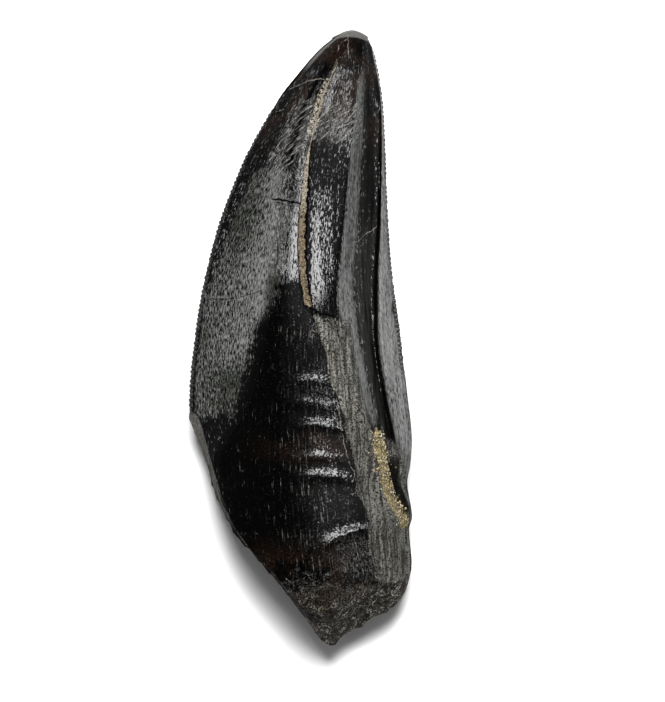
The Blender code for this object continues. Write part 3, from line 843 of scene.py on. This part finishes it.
# %% Close the ends and turn the faces outwards
MERGE = 0.000002
bpy.ops.object.mode_set(mode="EDIT")
bpy.ops.mesh.select_mode(type="VERT")
bpy.ops.mesh.select_all(action="SELECT")
bpy.ops.mesh.remove_doubles(threshold=MERGE)
bpy.ops.mesh.dissolve_degenerate(threshold=MERGE / 2)
bpy.ops.mesh.normals_make_consistent(inside=False)
bpy.ops.object.mode_set(mode="OBJECT")
bpy.ops.object.shade_smooth()
check = bmesh.new()
check.from_mesh(body.data)
open_edges = sum(1 for edge in check.edges if len(edge.link_faces) != 2)
print("faces:", len(check.faces), "open edges:", open_edges, "volume, mm3:",
      round(check.calc_volume() * 1e9))
check.free()

# %% [markdown]
# ## Denticles
#
# A tyrannosaur's denticles are small chisels: long across the edge, narrow along it, and rounded
# at their outer end. One is modelled from a cube. Its outer end is drawn in and all its edges are
# bevelled. Copies of it then stand along each edge, every one turned to face straight out, and are
# joined into one piece an edge. Worn ones are a little lower than their neighbours.

# %% Model one denticle, 1 mm to the unit, its outer end at +X
TOOTH_PITCH = 0.575
TOOTH_LONG = 0.52
TOOTH_DEEP = 1.0
TOOTH_THICK = 1.0
bpy.ops.object.select_all(action="DESELECT")
bpy.ops.mesh.primitive_cube_add(size=1, location=(-TOOTH_DEEP / 2, 0, 0))
denticle = bpy.context.object
denticle.name = "denticle"
denticle.scale = (TOOTH_DEEP, TOOTH_LONG, TOOTH_THICK)
bpy.ops.object.transform_apply(location=True, rotation=False, scale=True)
bpy.ops.object.mode_set(mode="EDIT")
bpy.ops.mesh.select_mode(type="FACE")
select(denticle.data, "faces", lambda face: face.normal.x > 0.9)
bpy.ops.transform.resize(value=(1, 0.82, 0.45))
bpy.ops.mesh.select_all(action="SELECT")
bpy.ops.mesh.bevel(offset=0.1, segments=2, affect="EDGES")
bpy.ops.mesh.normals_make_consistent(inside=False)
bpy.ops.object.mode_set(mode="OBJECT")
bpy.ops.object.shade_smooth()
print("one denticle:", len(denticle.data.polygons), "faces")


# %% Set the denticles along both edges
def along_edge(edge, teeth):
    """Stations of the denticles' middles, one pitch apart along the curve of the edge."""
    fine = np.linspace(teeth[0], teeth[1], 600)
    steps = np.hypot(np.diff(edge(fine)), np.diff(fine))
    length = np.concatenate([[0.0], np.cumsum(steps)])
    count = round(length[-1] / TOOTH_PITCH)
    return np.interp((np.arange(count) + 0.46) * length[-1] / count, length, fine)


def joined(name, row):
    """The copies of a row as one piece, with its place in its mesh."""
    bpy.ops.object.select_all(action="DESELECT")
    for copy in row:
        copy.select_set(True)
    bpy.context.view_layer.objects.active = row[0]
    bpy.ops.object.join()
    piece = bpy.context.object
    piece.name = name
    piece.data.name = name
    bpy.ops.object.transform_apply(location=True, rotation=True, scale=True)
    bpy.ops.object.shade_smooth()
    print(name, len(row), "copies,", len(piece.data.polygons), "faces")
    return piece


def serrate(name, edge, height, teeth, outward):
    """Copies of the denticle along one edge, joined into one piece."""
    chance = np.random.default_rng(7)
    row = []
    for at in along_edge(edge, teeth):
        slope = float(edge(at + 0.1)[0] - edge(at - 0.1)[0]) / 0.2
        copy = denticle.copy()
        copy.data = denticle.data.copy()
        worn = 0.09 * float(chance.random()) ** 3
        place = np.array([float(edge(at)[0]) - outward * worn, -at, float(height(at)[0])])
        copy.location = (place + shift) * MM
        copy.rotation_euler.z = math.atan(slope) + (0 if outward > 0 else math.pi)
        size = MM * (0.94 + 0.12 * float(chance.random()))
        copy.scale = (size, size, size)
        bpy.context.collection.objects.link(copy)
        row.append(copy)
    piece = joined(name, row)
    write_points(piece.data, np.clip(read_points(piece.data), low_corner * MM, high_corner * MM))
    return piece


mesial = serrate("mesial_denticles", MESIAL_EDGE, MESIAL_HEIGHT, MESIAL_TEETH, -1)
distal = serrate("distal_denticles", DISTAL_EDGE, DISTAL_HEIGHT, DISTAL_TEETH, 1)
bpy.data.objects.remove(denticle)

# %% [markdown]
# ## Sediment
#
# Mud has set hard in the crack and on a patch beside the channel's end. Under the lens it is a
# lumpy crust, so small squashed balls, each turned its own way, are sunk halfway into the body
# along the crack and over the patch. They are finer where the crack is narrow, towards the tip.

# %% Lay grains of sediment
GRAIN_SIZE = (0.10, 0.26)
GRAIN_SHAPE = np.array([1.0, 1.3, 0.6])


def lay_grains(name, places, chance):
    """Grains at places (station, share, scale), joined into one piece."""
    row = []
    for at, across, scale in places:
        spot_mm = upper_points(np.array([at]), np.array([across]))[0]
        size = GRAIN_SIZE[0] + (GRAIN_SIZE[1] - GRAIN_SIZE[0]) * float(chance.random()) ** 2
        bpy.ops.mesh.primitive_ico_sphere_add(subdivisions=1, radius=1,
                                              location=(spot_mm + shift) * MM)
        ball = bpy.context.object
        ball.scale = GRAIN_SHAPE * size * scale * MM
        ball.rotation_euler = chance.random(3) * (0.5, 0.5, math.pi)
        row.append(ball)
    return joined(name, row)


print("a grain's half width, mm:", GRAIN_SIZE)

# %% Sediment in the crack and on the patch beside the channel
chance = np.random.default_rng(3)
crack_places = []
for at in np.arange(CRACK_OPENS[1], CRACK_ENDS[0], 0.16):
    _, middle, other_lip = (float(side[0]) for side in crack_lips(at))
    wide = float(crack_width(at))
    off_middle = (other_lip - middle) * wide * 0.8 * float(chance.uniform(-1, 1))
    crack_places.append((at, middle + off_middle, min(0.25 + 0.8 * wide, 1.0)))
crack_sediment = lay_grains("crack_sediment", crack_places, chance)
patch_places = []
for at in np.arange(48.8, 60.2, 0.028):
    across = float(PATCH_MIDDLE(at)[0])
    patch_places.append((at, min(across + 0.017 * float(chance.normal()), 0.985), 0.75))
patch_sediment = lay_grains("channel_sediment", patch_places, chance)

# %% [markdown]
# ## A small language for finishes
#
# A finish is a sum of masks and patterns. It could be built by dragging nodes about, but as a
# formula it is far easier to read. So a class wraps the output of a shader node, and adds a Math
# node for each +, - or * on it. Any other node comes from one method, which takes its type, its
# settings, and the values of its inputs.

# %% A wire: the output of a node, used in a formula
class Wire:
    """The output of a shader node, which can be used in a formula."""

    def __init__(self, finish, socket):
        self.finish = finish
        self.socket = socket

    def maths(self, operation, first, second, clamp=False):
        settings = {"operation": operation, "use_clamp": clamp}
        return self.finish.node("ShaderNodeMath", settings, {0: first, 1: second})

    def __add__(self, other):
        return self.maths("ADD", self, other)

    def __sub__(self, other):
        return self.maths("SUBTRACT", self, other)

    def __rsub__(self, other):
        return self.maths("SUBTRACT", other, self)

    def __mul__(self, other):
        return self.maths("MULTIPLY", self, other)

    __radd__ = __add__
    __rmul__ = __mul__

    def clamped(self):
        return self.maths("ADD", self, 0.0, clamp=True)

    def at_least(self, other):
        return self.maths("MAXIMUM", self, other)

    def fade(self, low, high):
        """0 at low and 1 at high, or the other way round where low is the larger."""
        settings = {"interpolation_type": "SMOOTHSTEP"}
        flip = low > high
        limits = {"From Min": min(low, high), "From Max": max(low, high), "Value": self}
        limits |= {"To Min": 1.0 if flip else 0.0, "To Max": 0.0 if flip else 1.0}
        return self.finish.node("ShaderNodeMapRange", settings, limits)


print("formula words:", *(name for name in vars(Wire) if not name.startswith("_")))


# %% A finish: one material and the nodes that make it
class Finish:
    """One material, and the nodes that make it."""

    def __init__(self, name, colour, roughness):
        self.material = bpy.data.materials.new(name)
        self.material.use_nodes = True
        self.material.diffuse_color = (*colour, 1.0)
        self.tree = self.material.node_tree
        self.surface = self.tree.nodes["Principled BSDF"]
        self.surface.inputs["Base Color"].default_value = (*colour, 1.0)
        self.surface.inputs["Roughness"].default_value = roughness

    def feed(self, socket, value):
        if isinstance(value, Wire):
            self.tree.links.new(value.socket, socket)
        elif socket.type == "RGBA" and len(value) == 3:
            socket.default_value = (*value, 1.0)
        else:
            socket.default_value = value

    def node(self, kind, settings=None, inputs=None, output=0):
        """Adds a node, sets it, feeds its inputs, and gives one of its outputs."""
        made = self.tree.nodes.new(kind)
        for name, value in (settings or {}).items():
            setattr(made, name, value)
        for name, value in (inputs or {}).items():
            self.feed(made.inputs[name], value)
        return Wire(self, made.outputs[output])

    def vectors(self, operation, inputs, output=0):
        return self.node("ShaderNodeVectorMath", {"operation": operation}, inputs, output)

    def zone(self, name):
        return self.node("ShaderNodeAttribute", {"attribute_name": name}, output="Fac")

    def mix(self, mask, first, second):
        """The first colour where the mask is 0 and the second where it is 1."""
        settings = {"data_type": "RGBA", "clamp_factor": True}
        return self.node("ShaderNodeMix", settings, {0: mask, 6: first, 7: second}, output=2)

    def millimetres(self):
        """The place on the object, in millimetres."""
        place = self.node("ShaderNodeTexCoord", output="Object")
        return self.vectors("MULTIPLY", {0: place, 1: (1000, 1000, 1000)})

    def noise(self, place, size, drawn=1.0, rough=0.65, detail=3.0):
        """Cloudy noise whose lumps lie about one size apart, drawn out along Y if drawn is low."""
        if drawn < 1.0:
            place = self.vectors("MULTIPLY", {0: place, 1: (1.0, drawn, 1.0)})
        inputs = {"Vector": place, "Scale": 1 / size, "Detail": detail, "Roughness": rough}
        return self.node("ShaderNodeTexNoise", {}, inputs)

    def set(self, sockets):
        for name, value in sockets.items():
            self.feed(self.surface.inputs[name], value)

    def surface_wire(self):
        return Wire(self, self.surface.outputs["BSDF"])

    def show(self, shader):
        self.feed(self.tree.nodes["Material Output"].inputs["Surface"], shader)

    def bump(self, height, depth, under=None):
        """Turns a height from 0 to 1 into dents of a depth in millimetres."""
        inputs = {"Height": height, "Distance": depth * MM, "Strength": 1.0}
        if under:
            inputs["Normal"] = under
        return self.node("ShaderNodeBump", {}, inputs)


print("finish words:", *(name for name in vars(Finish) if not name.startswith("_")))

# %% [markdown]
# ## The enamel
#
# The enamel is almost black, and nearly all that is seen of it is reflection. Its fine grain runs
# down the tooth, so noise that is drawn out along the pattern map makes the dents and the flecks.
# The gloss is left in specks: where the grain is above a level the enamel shines, and the lustre
# sets that level. Polished enamel has sharp specks, and the satin faces have soft and dense ones.
# Between the specks lies a dull film. Dentine, sediment and the broken base cover it all by their
# zones.

# %% Patterns of the enamel
enamel = Finish("tooth_enamel", (0.002, 0.0019, 0.0018), 0.3)
pattern = enamel.node("ShaderNodeUVMap", {"uv_map": "grain"})
down_tooth = enamel.node("ShaderNodeSeparateXYZ", {}, {0: pattern}, output="Y")
place = enamel.millimetres()
fine_grain = enamel.noise(pattern, 0.16, drawn=0.25)
satin_grain = enamel.noise(pattern, 0.13, drawn=0.20, rough=0.72)
streaks = enamel.noise(pattern, 0.36, drawn=0.06)
hairs = enamel.noise(pattern, 0.15, drawn=0.05, rough=0.6)
crumple = enamel.noise(place, 0.30, drawn=0.7)
speck = enamel.noise(place, 0.20, rough=0.7)
crumbs = enamel.noise(place, 0.55, rough=0.7)
blotch = enamel.noise(place, 1.1, detail=4.0)
cloud = enamel.noise(place, 4.0, rough=0.6)
slanting = enamel.node("ShaderNodeMapping", {}, {"Vector": place, "Rotation": (0, 0, 0.9)})
scratches = enamel.noise(slanting, 0.2, drawn=0.12, rough=0.5)
print("patterns:", len(enamel.tree.nodes), "nodes")

# %% Zones with broken borders
zone = {name: enamel.zone(name) for name in zones}


def broken_up(mask, noise_wire, amount):
    """The mask with its soft border broken up by a noise, so that it has no clean edge."""
    return (mask + (noise_wire - 0.5) * amount).fade(0.35, 0.65)


satin = broken_up(zone["satin"], fine_grain * 0.5 + streaks * 0.5, 3.0)
channel = broken_up(zone["channel"], streaks * 0.6 + hairs * 0.4, 2.2)
dentine = broken_up(zone["dentine"], speck * 0.6 + hairs * 0.4, 2.0)
base = broken_up(zone["base"], speck * 0.5 + blotch * 0.5, 2.6)
scuff = broken_up(zone["scuff"], scratches * 0.5 + blotch * 0.5, 2.4)
crusted = broken_up(zone["sediment"], speck, 2.0)
print("zones:", len(zone))

# %% Specks of gloss: all of the surface at lustre 1, none at 0
uneven = zone["lustre"] + (streaks - 0.5) * 1.1 + (blotch - 0.5) * 0.6
grained = fine_grain + (speck - fine_grain) * zone["flecked"]
sharp = (grained.fade(0.30, 0.70) + uneven - 1).fade(-0.08, 0.10)
even = zone["lustre"] + (streaks - 0.5) * 0.6 + (blotch - 0.5) * 0.6
crinkled = down_tooth.fade(40.5, 43.5) * down_tooth.fade(50.0, 47.0)
soft = (satin_grain.fade(0.28, 0.72) + even - 1).fade(-0.34, 0.44)
silky = satin.at_least(channel).at_least(zone["facet"]).at_least(zone["scuff"] * 0.8)
gloss = sharp + (soft - sharp) * silky * (1 - satin * crinkled * 0.6)
print("gloss:", len(enamel.tree.nodes), "nodes")

# %% [markdown]
# Cracks as fine as a hair would need far too many faces. Each is a short chain of points on the
# upper face, and the shader measures how far a place is from it. The place is shifted a little by
# noise first, so that the cracks wander. Not every dark line is a crack: the one along the chip's
# edge is a painted shadow.

# %% Cracks finer than the mesh
LIGHT_CRACKS = [[(5.76, 36.6), (5.8, 34.2)], [(5.5, 36.1), (4.67, 35.2), (4.55, 34.1), (4.06, 32.5)],
                [(-1.27, 30.2), (0.67, 30.8), (2.4, 31.2), (3.1, 30.9)], [(6.6, 11.3), (9.27, 13.4)],
                [(4.5, -7.8), (4.9, -10.8), (5.5, -14.0), (6.4, -16.2), (7.1, -18.3)],
                [(-7.56, 20.2), (-4.65, 26.2)], [(-3.8, 27.2), (-1.27, 27.7)],
                [(1.16, 19.2), (1.5, 18.3), (1.9, 17.3)], [(6.24, -23.3), (6.97, -26.1), (7.75, -28.7)],
                [(8.2, -25.0), (8.9, -27.1), (9.6, -29.4)]]
# The chain from (3.9, 2.4) down is the painted shadow along the chip's edge.
DARK_CRACKS_AND_SHADOW_LINES = [[(-11.8, 4.4), (-7.3, 4.66), (-4.4, 5.5)], [(4.3, 15.9), (4.3, 2.6)],
               [(3.9, 2.4), (4.4, 1.27), (4.8, -0.67)], [(-3.0, 16.1), (-1.2, 15.6)],
               [(6.36, -7.94), (7.45, -9.15), (7.77, -10.11), (6.69, -10.36)]]
# The second bold chain is the painted shadow under the chip's edge.
BOLD_CRACK_AND_SHADOW_LINES = [[(-3.33, 16.5), (-1.9, 16.3), (0.07, 15.9)], [(1.3, 3.4), (2.4, 2.75), (3.9, 2.4)]]
flat_place = enamel.vectors("MULTIPLY", {0: place, 1: (1.0, 1.0, 0.0)})
wavy = enamel.node("ShaderNodeTexNoise", {}, {"Vector": flat_place, "Scale": 1.2, "Detail": 3.0},
                   output="Color")
wavy = enamel.vectors("MULTIPLY_ADD", {0: wavy, 1: (0.6, 0.6, 0.0), 2: (-0.3, -0.3, 0.0)})
flat_place = enamel.vectors("ADD", {0: flat_place, 1: wavy})


def distance_to(start, end):
    """Distance from the wavy place to the stretch of line from start to end."""
    start, end = Vector((*start, 0)), Vector((*end, 0))
    run = end - start
    along = enamel.vectors("SUBTRACT", {0: flat_place, 1: start})
    part = enamel.vectors("DOT_PRODUCT", {0: along, 1: run / run.length_squared}, "Value").clamped()
    nearest = enamel.vectors("SCALE", {0: run, "Scale": part})
    return enamel.vectors("DISTANCE", {0: along, 1: nearest}, "Value")


def crack_lines(cracks, width):
    """1 on any of the cracks and 0 off them."""
    nearest, *others = (distance_to(*ends) for chain in cracks for ends in zip(chain, chain[1:]))
    for away in others:
        nearest = nearest.maths("MINIMUM", nearest, away)
    return nearest.fade(width, 0.3 * width)


light_lines = crack_lines(LIGHT_CRACKS, 0.06) * blotch.fade(0.38, 0.56) * speck.fade(0.36, 0.52)
# The dark lines are dark cracks, with painted shadow along the chip's edge.
dark_crack_and_shadow_lines = crack_lines(DARK_CRACKS_AND_SHADOW_LINES, 0.08) * blotch.fade(0.36, 0.5)
dark_crack_and_shadow_lines = dark_crack_and_shadow_lines.at_least(crack_lines(BOLD_CRACK_AND_SHADOW_LINES, 0.20))
print("with the cracks:", len(enamel.tree.nodes), "nodes")

# %% [markdown]
# The colour is painted in coats as well, each through its own mask, from black enamel to the mud
# that lies on everything. Most masks are a zone times one or two patterns at a sharp level, which
# breaks the coat up into grains, fibres or flecks of the right size. Some coats hold painted
# light: the satin face's grey is partly painted sheen, the channel's and the facet's grey are
# painted sheen, the pale flecks on the black body's right and the silver specks are painted
# glints, the broken wall is painted lighter, and the pit and the line along the chip's edge are
# painted shade.

# %% Colour of the enamel, with painted sheen and painted glints
BLACK = (0.0005, 0.0005, 0.0005)
BROWN = (0.010, 0.0056, 0.0035)
SATIN_GREY_AND_SHEEN = (0.024, 0.026, 0.021)
CHANNEL_SHEEN = (0.055, 0.058, 0.054)
SCRATCH_AND_GLINT_GREY = (0.11, 0.105, 0.098)
HOLLOW = (0.014, 0.014, 0.013)
GLINT_SILVER = (0.19, 0.19, 0.185)
coats = [BLACK]


def paint(mask, shade):
    """Lays a shade over the colour where the mask is 1."""
    coats.append(enamel.mix(mask, coats[-1], shade))


brown_band = down_tooth.fade(48.0, 50.0) * down_tooth.fade(53.0, 51.0) * zone["flecked"]
brown_parts = down_tooth.fade(17.0, 9.0).at_least(down_tooth.fade(60.0, 66.0)).at_least(brown_band)
paint(cloud.fade(0.42, 0.58) * speck.fade(0.38, 0.58) * brown_parts, BROWN)
# Grey on the satin face: partly the satin enamel's own grey, partly painted sheen.
paint(satin * satin_grain.fade(0.42, 0.60), SATIN_GREY_AND_SHEEN)
# Streaked grey in the channel: painted sheen.
paint(channel * (fine_grain * 0.6 + streaks * 0.4).fade(0.36, 0.62), CHANNEL_SHEEN)
# Faint pale flecks on the black body, mostly on its right: painted glints.
dim = (hairs * 0.5 + speck * 0.5 + zone["flecked"] * 0.04).fade(0.56, 0.66)
paint(dim * zone["flecked"] * 0.2, SCRATCH_AND_GLINT_GREY)
paint(zone["hollow"] * (0.3 + streaks.fade(0.35, 0.65)).clamped(), HOLLOW)
# Denser pale flecks on the black body: painted glints.
many = (hairs + zone["flecked"] * 0.06).fade(0.66, 0.74) * blotch.fade(0.40, 0.56)
paint(many * speck.fade(0.36, 0.52), SCRATCH_AND_GLINT_GREY)
# Silver specks where the strips and the low rear part shine: painted glints.
glint_specks = (fine_grain * 0.5 + speck * 0.5).fade(0.47, 0.58) * (0.45 + streaks.fade(0.4, 0.6) * 0.55)
paint(glint_specks * zone["silvery"], GLINT_SILVER)
# The same pale grey on the scuffed enamel near the tip is real scratches.
paint(scuff * scratches.fade(0.50, 0.62) * speck.fade(0.38, 0.50), SCRATCH_AND_GLINT_GREY)
print("enamel coats:", len(coats))

# %% Colour of the dentine and of the broken base, with painted light on the broken wall
DENTINE = (0.168, 0.167, 0.152)
TAWNY = (0.255, 0.250, 0.222)
DEEP = (0.008, 0.006, 0.004)
ROOT = (0.33, 0.315, 0.27)
EARTH = (0.085, 0.060, 0.034)
# The two rubble greys are the broken wall's grit, painted lighter than the base's: painted light.
RUBBLE_WITH_PAINTED_LIGHT = (0.62, 0.605, 0.55)
RUBBLE_DEEP_WITH_PAINTED_LIGHT = (0.040, 0.036, 0.030)
rough_speck = (speck * 0.65 + crumple * 0.35).fade(0.41, 0.56)
drawn = (streaks * 0.6 + hairs * 0.4).fade(0.42, 0.58)
boned = enamel.mix(zone["tawny"], DENTINE, TAWNY)
paint(dentine, enamel.mix(rough_speck * (0.22 + 0.78 * drawn), DEEP, boned))
low = (0.08 + 0.92 * down_tooth.fade(66.0, 73.0)).at_least(zone["wall"]).clamped()
gritty = (speck * 0.7 + crumple * 0.3).fade(0.51, 0.57) * crumbs.fade(0.40, 0.52)
gritty = gritty * low * (0.35 + blotch.fade(0.42, 0.6))
earthy = enamel.mix(cloud.fade(0.44, 0.58), ROOT, EARTH)
# On the broken wall the grit is painted lighter: partly its real grey, partly painted light.
earthy = enamel.mix(zone["wall"] * blotch.fade(0.36, 0.56), earthy, RUBBLE_WITH_PAINTED_LIGHT)
paint(base, enamel.mix(gritty, enamel.mix(zone["wall"], DEEP, RUBBLE_DEEP_WITH_PAINTED_LIGHT), earthy))
print("with dentine and base:", len(coats))

# %% Colour of the worn places, the mud and the cracks, with the facet's painted sheen and painted shade
FACET_SHEEN_GREY = (0.100, 0.101, 0.098)
WORN = (0.085, 0.085, 0.081)
BEVEL = (0.135, 0.130, 0.120)
TAN = (0.21, 0.165, 0.108)
WHITISH = (0.32, 0.285, 0.225)
YELLOW = (0.30, 0.25, 0.13)
TAN_DARK, YELLOW_DARK = (0.022, 0.015, 0.010), (0.030, 0.022, 0.012)
# The near black serves the dark cracks, the painted shadow along the chip's edge and the painted shade in
# the pit.
CRACK_PALE, CRACK_AND_SHADE_BLACK = (0.15, 0.135, 0.115), (0.001, 0.001, 0.001)
# Streaked grey on the facet beside the rear edge: painted sheen.
paint(zone["facet"] * (fine_grain * 0.6 + streaks * 0.4).fade(0.36, 0.6), FACET_SHEEN_GREY)
paint(zone["wear"] * (0.4 + speck * 0.9).clamped(), WORN)
paint(zone["bevel"] * (0.25 + speck.fade(0.36, 0.60)).clamped(), BEVEL)
tan = enamel.mix(down_tooth.fade(24.0, 20.0), TAN, WHITISH)
tan = enamel.mix(speck.fade(0.36, 0.58), TAN_DARK, tan)
tan = enamel.mix(zone["patch"], tan, enamel.mix(speck.fade(0.40, 0.58), YELLOW_DARK, YELLOW))
paint(crusted, tan)
paint(light_lines, CRACK_PALE)
# Near black on the dark cracks, on the painted shadow along the chip's edge and, as painted shade, in the
# pit.
paint(dark_crack_and_shadow_lines.at_least(zone["pit"] * 0.9), CRACK_AND_SHADE_BLACK)
colour = coats[-1]
print("all coats:", len(coats))

# %% Roughness and dents of the body
smooth_zone = zone["wear"].at_least(zone["bevel"])
rough_zone = dentine.at_least(base).at_least(zone["sediment"])
roughness = 0.13 + satin * 0.2 + channel * 0.24 + zone["facet"] * 0.2 + smooth_zone * 0.3
roughness = roughness + dentine * 0.3 + base * 0.2
roughness = (roughness + zone["sediment"] * 0.5 + (streaks - 0.5) * 0.1).clamped()
dents = enamel.bump(satin_grain * (0.3 + silky), 0.014)
dents = enamel.bump(streaks * (0.4 + channel + zone["facet"]), 0.02, dents)
dents = enamel.bump(crumple, 0.02, dents)
dents = enamel.bump(speck * rough_zone, 0.25, dents)
enamel.set({"Base Color": colour, "Roughness": roughness, "Normal": dents})
print("enamel:", len(enamel.tree.nodes), "nodes")

# %% [markdown]
# The dull film between the specks of gloss is a second shader with the same colour. It shines only
# where it is seen very slantwise, as old varnish does, so its specular level is low. A Mix Shader
# takes the film where the surface is matte and the gloss elsewhere.

# %% Film between the specks of gloss
film_rough = (0.3 + rough_zone.at_least(dark_crack_and_shadow_lines) * 0.7 + zone["front"] * 0.45).clamped()
film = enamel.node("ShaderNodeBsdfPrincipled", {}, {
    "Base Color": colour, "Roughness": film_rough, "Specular IOR Level": 0.022,
    "Normal": dents}, output="BSDF")
matte = (1 - gloss).at_least(dark_crack_and_shadow_lines).at_least(light_lines).at_least(smooth_zone * 0.8)
matte = matte.at_least(crusted).at_least(many * 0.7).at_least(dentine * 0.75)
enamel.show(enamel.node("ShaderNodeMixShader", {}, {0: matte, 1: enamel.surface_wire(), 2: film}))
body.data.materials.append(enamel.material)
print("enamel:", len(enamel.tree.nodes), "nodes")

# %% [markdown]
# The denticles have the body's black, with lighter grey in patches laid by a noise. The mud is tan in the
# crack, paler towards the tip, and yellow on the patch, so its shades change with the distance up the
# tooth.

# %% Finish of the denticles
edge = Finish("denticle_enamel", (0.014, 0.012, 0.011), 0.3)
scuff = edge.noise(edge.millimetres(), 0.35, rough=0.6)
# Lighter grey in patches on the denticles, laid by a noise.
edge.set({"Base Color": edge.mix(scuff.fade(0.5, 0.7), (0.006, 0.005, 0.005), (0.035, 0.033, 0.031)),
          "Roughness": 0.22 + scuff * 0.25, "Normal": edge.bump(scuff, 0.04)})
for piece in (mesial, distal):
    piece.data.materials.append(edge.material)
print("denticle enamel:", len(edge.tree.nodes), "nodes")

# %% Finish of the sediment
mud = Finish("set_sediment", (0.12, 0.09, 0.055), 0.8)
place = mud.millimetres()
speck = mud.noise(place, 0.3, detail=4.0)
patchy = mud.noise(place, 1.6, rough=0.5, detail=2.0)
up_tooth = mud.node("ShaderNodeSeparateXYZ", {}, {0: place}, output="Y")
shade = mud.mix(speck.fade(0.42, 0.62), TAN_DARK, (0.21, 0.160, 0.100))
pale = up_tooth.fade(13.0, 17.0) * speck.fade(0.36, 0.56)
shade = mud.mix(pale * 0.75, shade, (0.32, 0.285, 0.235))
shade = mud.mix(patchy.fade(0.48, 0.66) * 0.45, shade, (0.22, 0.190, 0.130))
yellow = mud.mix(speck.fade(0.44, 0.56), (0.020, 0.014, 0.008), (0.33, 0.27, 0.14))
yellow = mud.mix(patchy.fade(0.50, 0.62) * speck.fade(0.48, 0.58), yellow, (0.56, 0.52, 0.38))
mud.set({"Base Color": mud.mix(up_tooth.fade(0.0, -6.0), shade, yellow), "Normal": mud.bump(speck, 0.12)})
for piece in (crack_sediment, patch_sediment):
    piece.data.materials.append(mud.material)
print("sediment:", len(mud.tree.nodes), "nodes")

# %% [markdown]
# ## Floor, light and camera
#
# The tooth lies on a plain white table and is looked at from straight above. The lights are split.
# A key above the tip and a wide sky light the table and the matte parts, and make the shadow, but
# stay out of the gloss. The other panels show in the gloss alone: two above make the bright bands
# along the crack and the tip's shine, two at the sides draw the satin faces, and a low ring keeps
# the sides of the tooth from going black when they are seen from the table.

# %% Floor
bpy.ops.object.select_all(action="DESELECT")
bpy.ops.mesh.primitive_plane_add(size=3.0, location=(0, 0, 0))
floor = bpy.context.object
floor.name = "table"
table = Finish("white_table", (0.86, 0.86, 0.86), 0.9)
table.set({"Specular IOR Level": 0.0})
floor.data.materials.append(table.material)
print("floor:", tuple(floor.dimensions))


# %% Lights
def panel(name, direction, distance, size, radiance, seen_in_gloss=True):
    """A soft light that faces the middle of the tooth, and shows in the gloss or lights the rest."""
    lamp = bpy.data.lights.new(name, "AREA")
    lamp.shape = "RECTANGLE"
    lamp.size, lamp.size_y = size
    lamp.energy = radiance * math.pi * size[0] * size[1]
    light = bpy.data.objects.new(name, lamp)
    bpy.context.collection.objects.link(light)
    light.location = Vector(direction).normalized() * distance
    light.rotation_euler = light.location.to_track_quat("Z", "Y").to_euler()
    light.visible_glossy = seen_in_gloss
    light.visible_diffuse = not seen_in_gloss
    return light


panel("key", (0.03, 0.46, 1.0), 0.5, (0.15, 0.15), 76.0, seen_in_gloss=False)
panel("sky", (0.0, 0.0, 1.0), 0.8, (1.2, 1.2), 0.40, seen_in_gloss=False)
panel("band", (0.45, 0.225, 0.87), 0.5, (0.17, 0.19), 16.0)
panel("top", (0.21, 0.52, 0.83), 0.5, (0.14, 0.14), 16.0)
panel("left", (-0.95, 0.27, 0.22), 0.4, (0.35, 0.20), 8.0)
panel("right", (0.95, 0.15, 0.25), 0.4, (0.35, 0.20), 5.0)
for azimuth in (38, 80, 125, 220, 262, 310):
    turn = math.radians(azimuth)
    panel("ring_" + str(azimuth), (math.cos(turn), math.sin(turn), 0.26), 0.45, (0.30, 0.16), 2.6)
world = bpy.data.worlds.new("studio")
world.use_nodes = True
world.node_tree.nodes["Background"].inputs["Color"].default_value = (0.02, 0.02, 0.02, 1)
bpy.context.scene.world = world
bpy.context.scene.view_settings.view_transform = "Standard"
print("lights:", len(bpy.data.lights))

# %% Camera, straight above, with VIEW_TALL millimetres from the lower to the upper edge of the view
VIEW_TALL = 85.0
VIEW_MIDDLE = (3.88, -1.76)
HALF_WAY_UP = 6
LENS = 135.0
SENSOR = 36.0
camera_data = bpy.data.cameras.new("camera")
camera_data.lens = LENS
camera_data.sensor_width = SENSOR
camera = bpy.data.objects.new("camera", camera_data)
away = LENS * VIEW_TALL / SENSOR + HALF_WAY_UP
camera.location = (VIEW_MIDDLE[0] * MM, VIEW_MIDDLE[1] * MM, away * MM)
bpy.context.collection.objects.link(camera)
bpy.context.scene.camera = camera
print("camera height, mm:", round(away, 1))

# %% Hand the pieces over
for piece in (body, mesial, distal, crack_sediment, patch_sediment):
    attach(piece, "root")
    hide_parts("tooth")
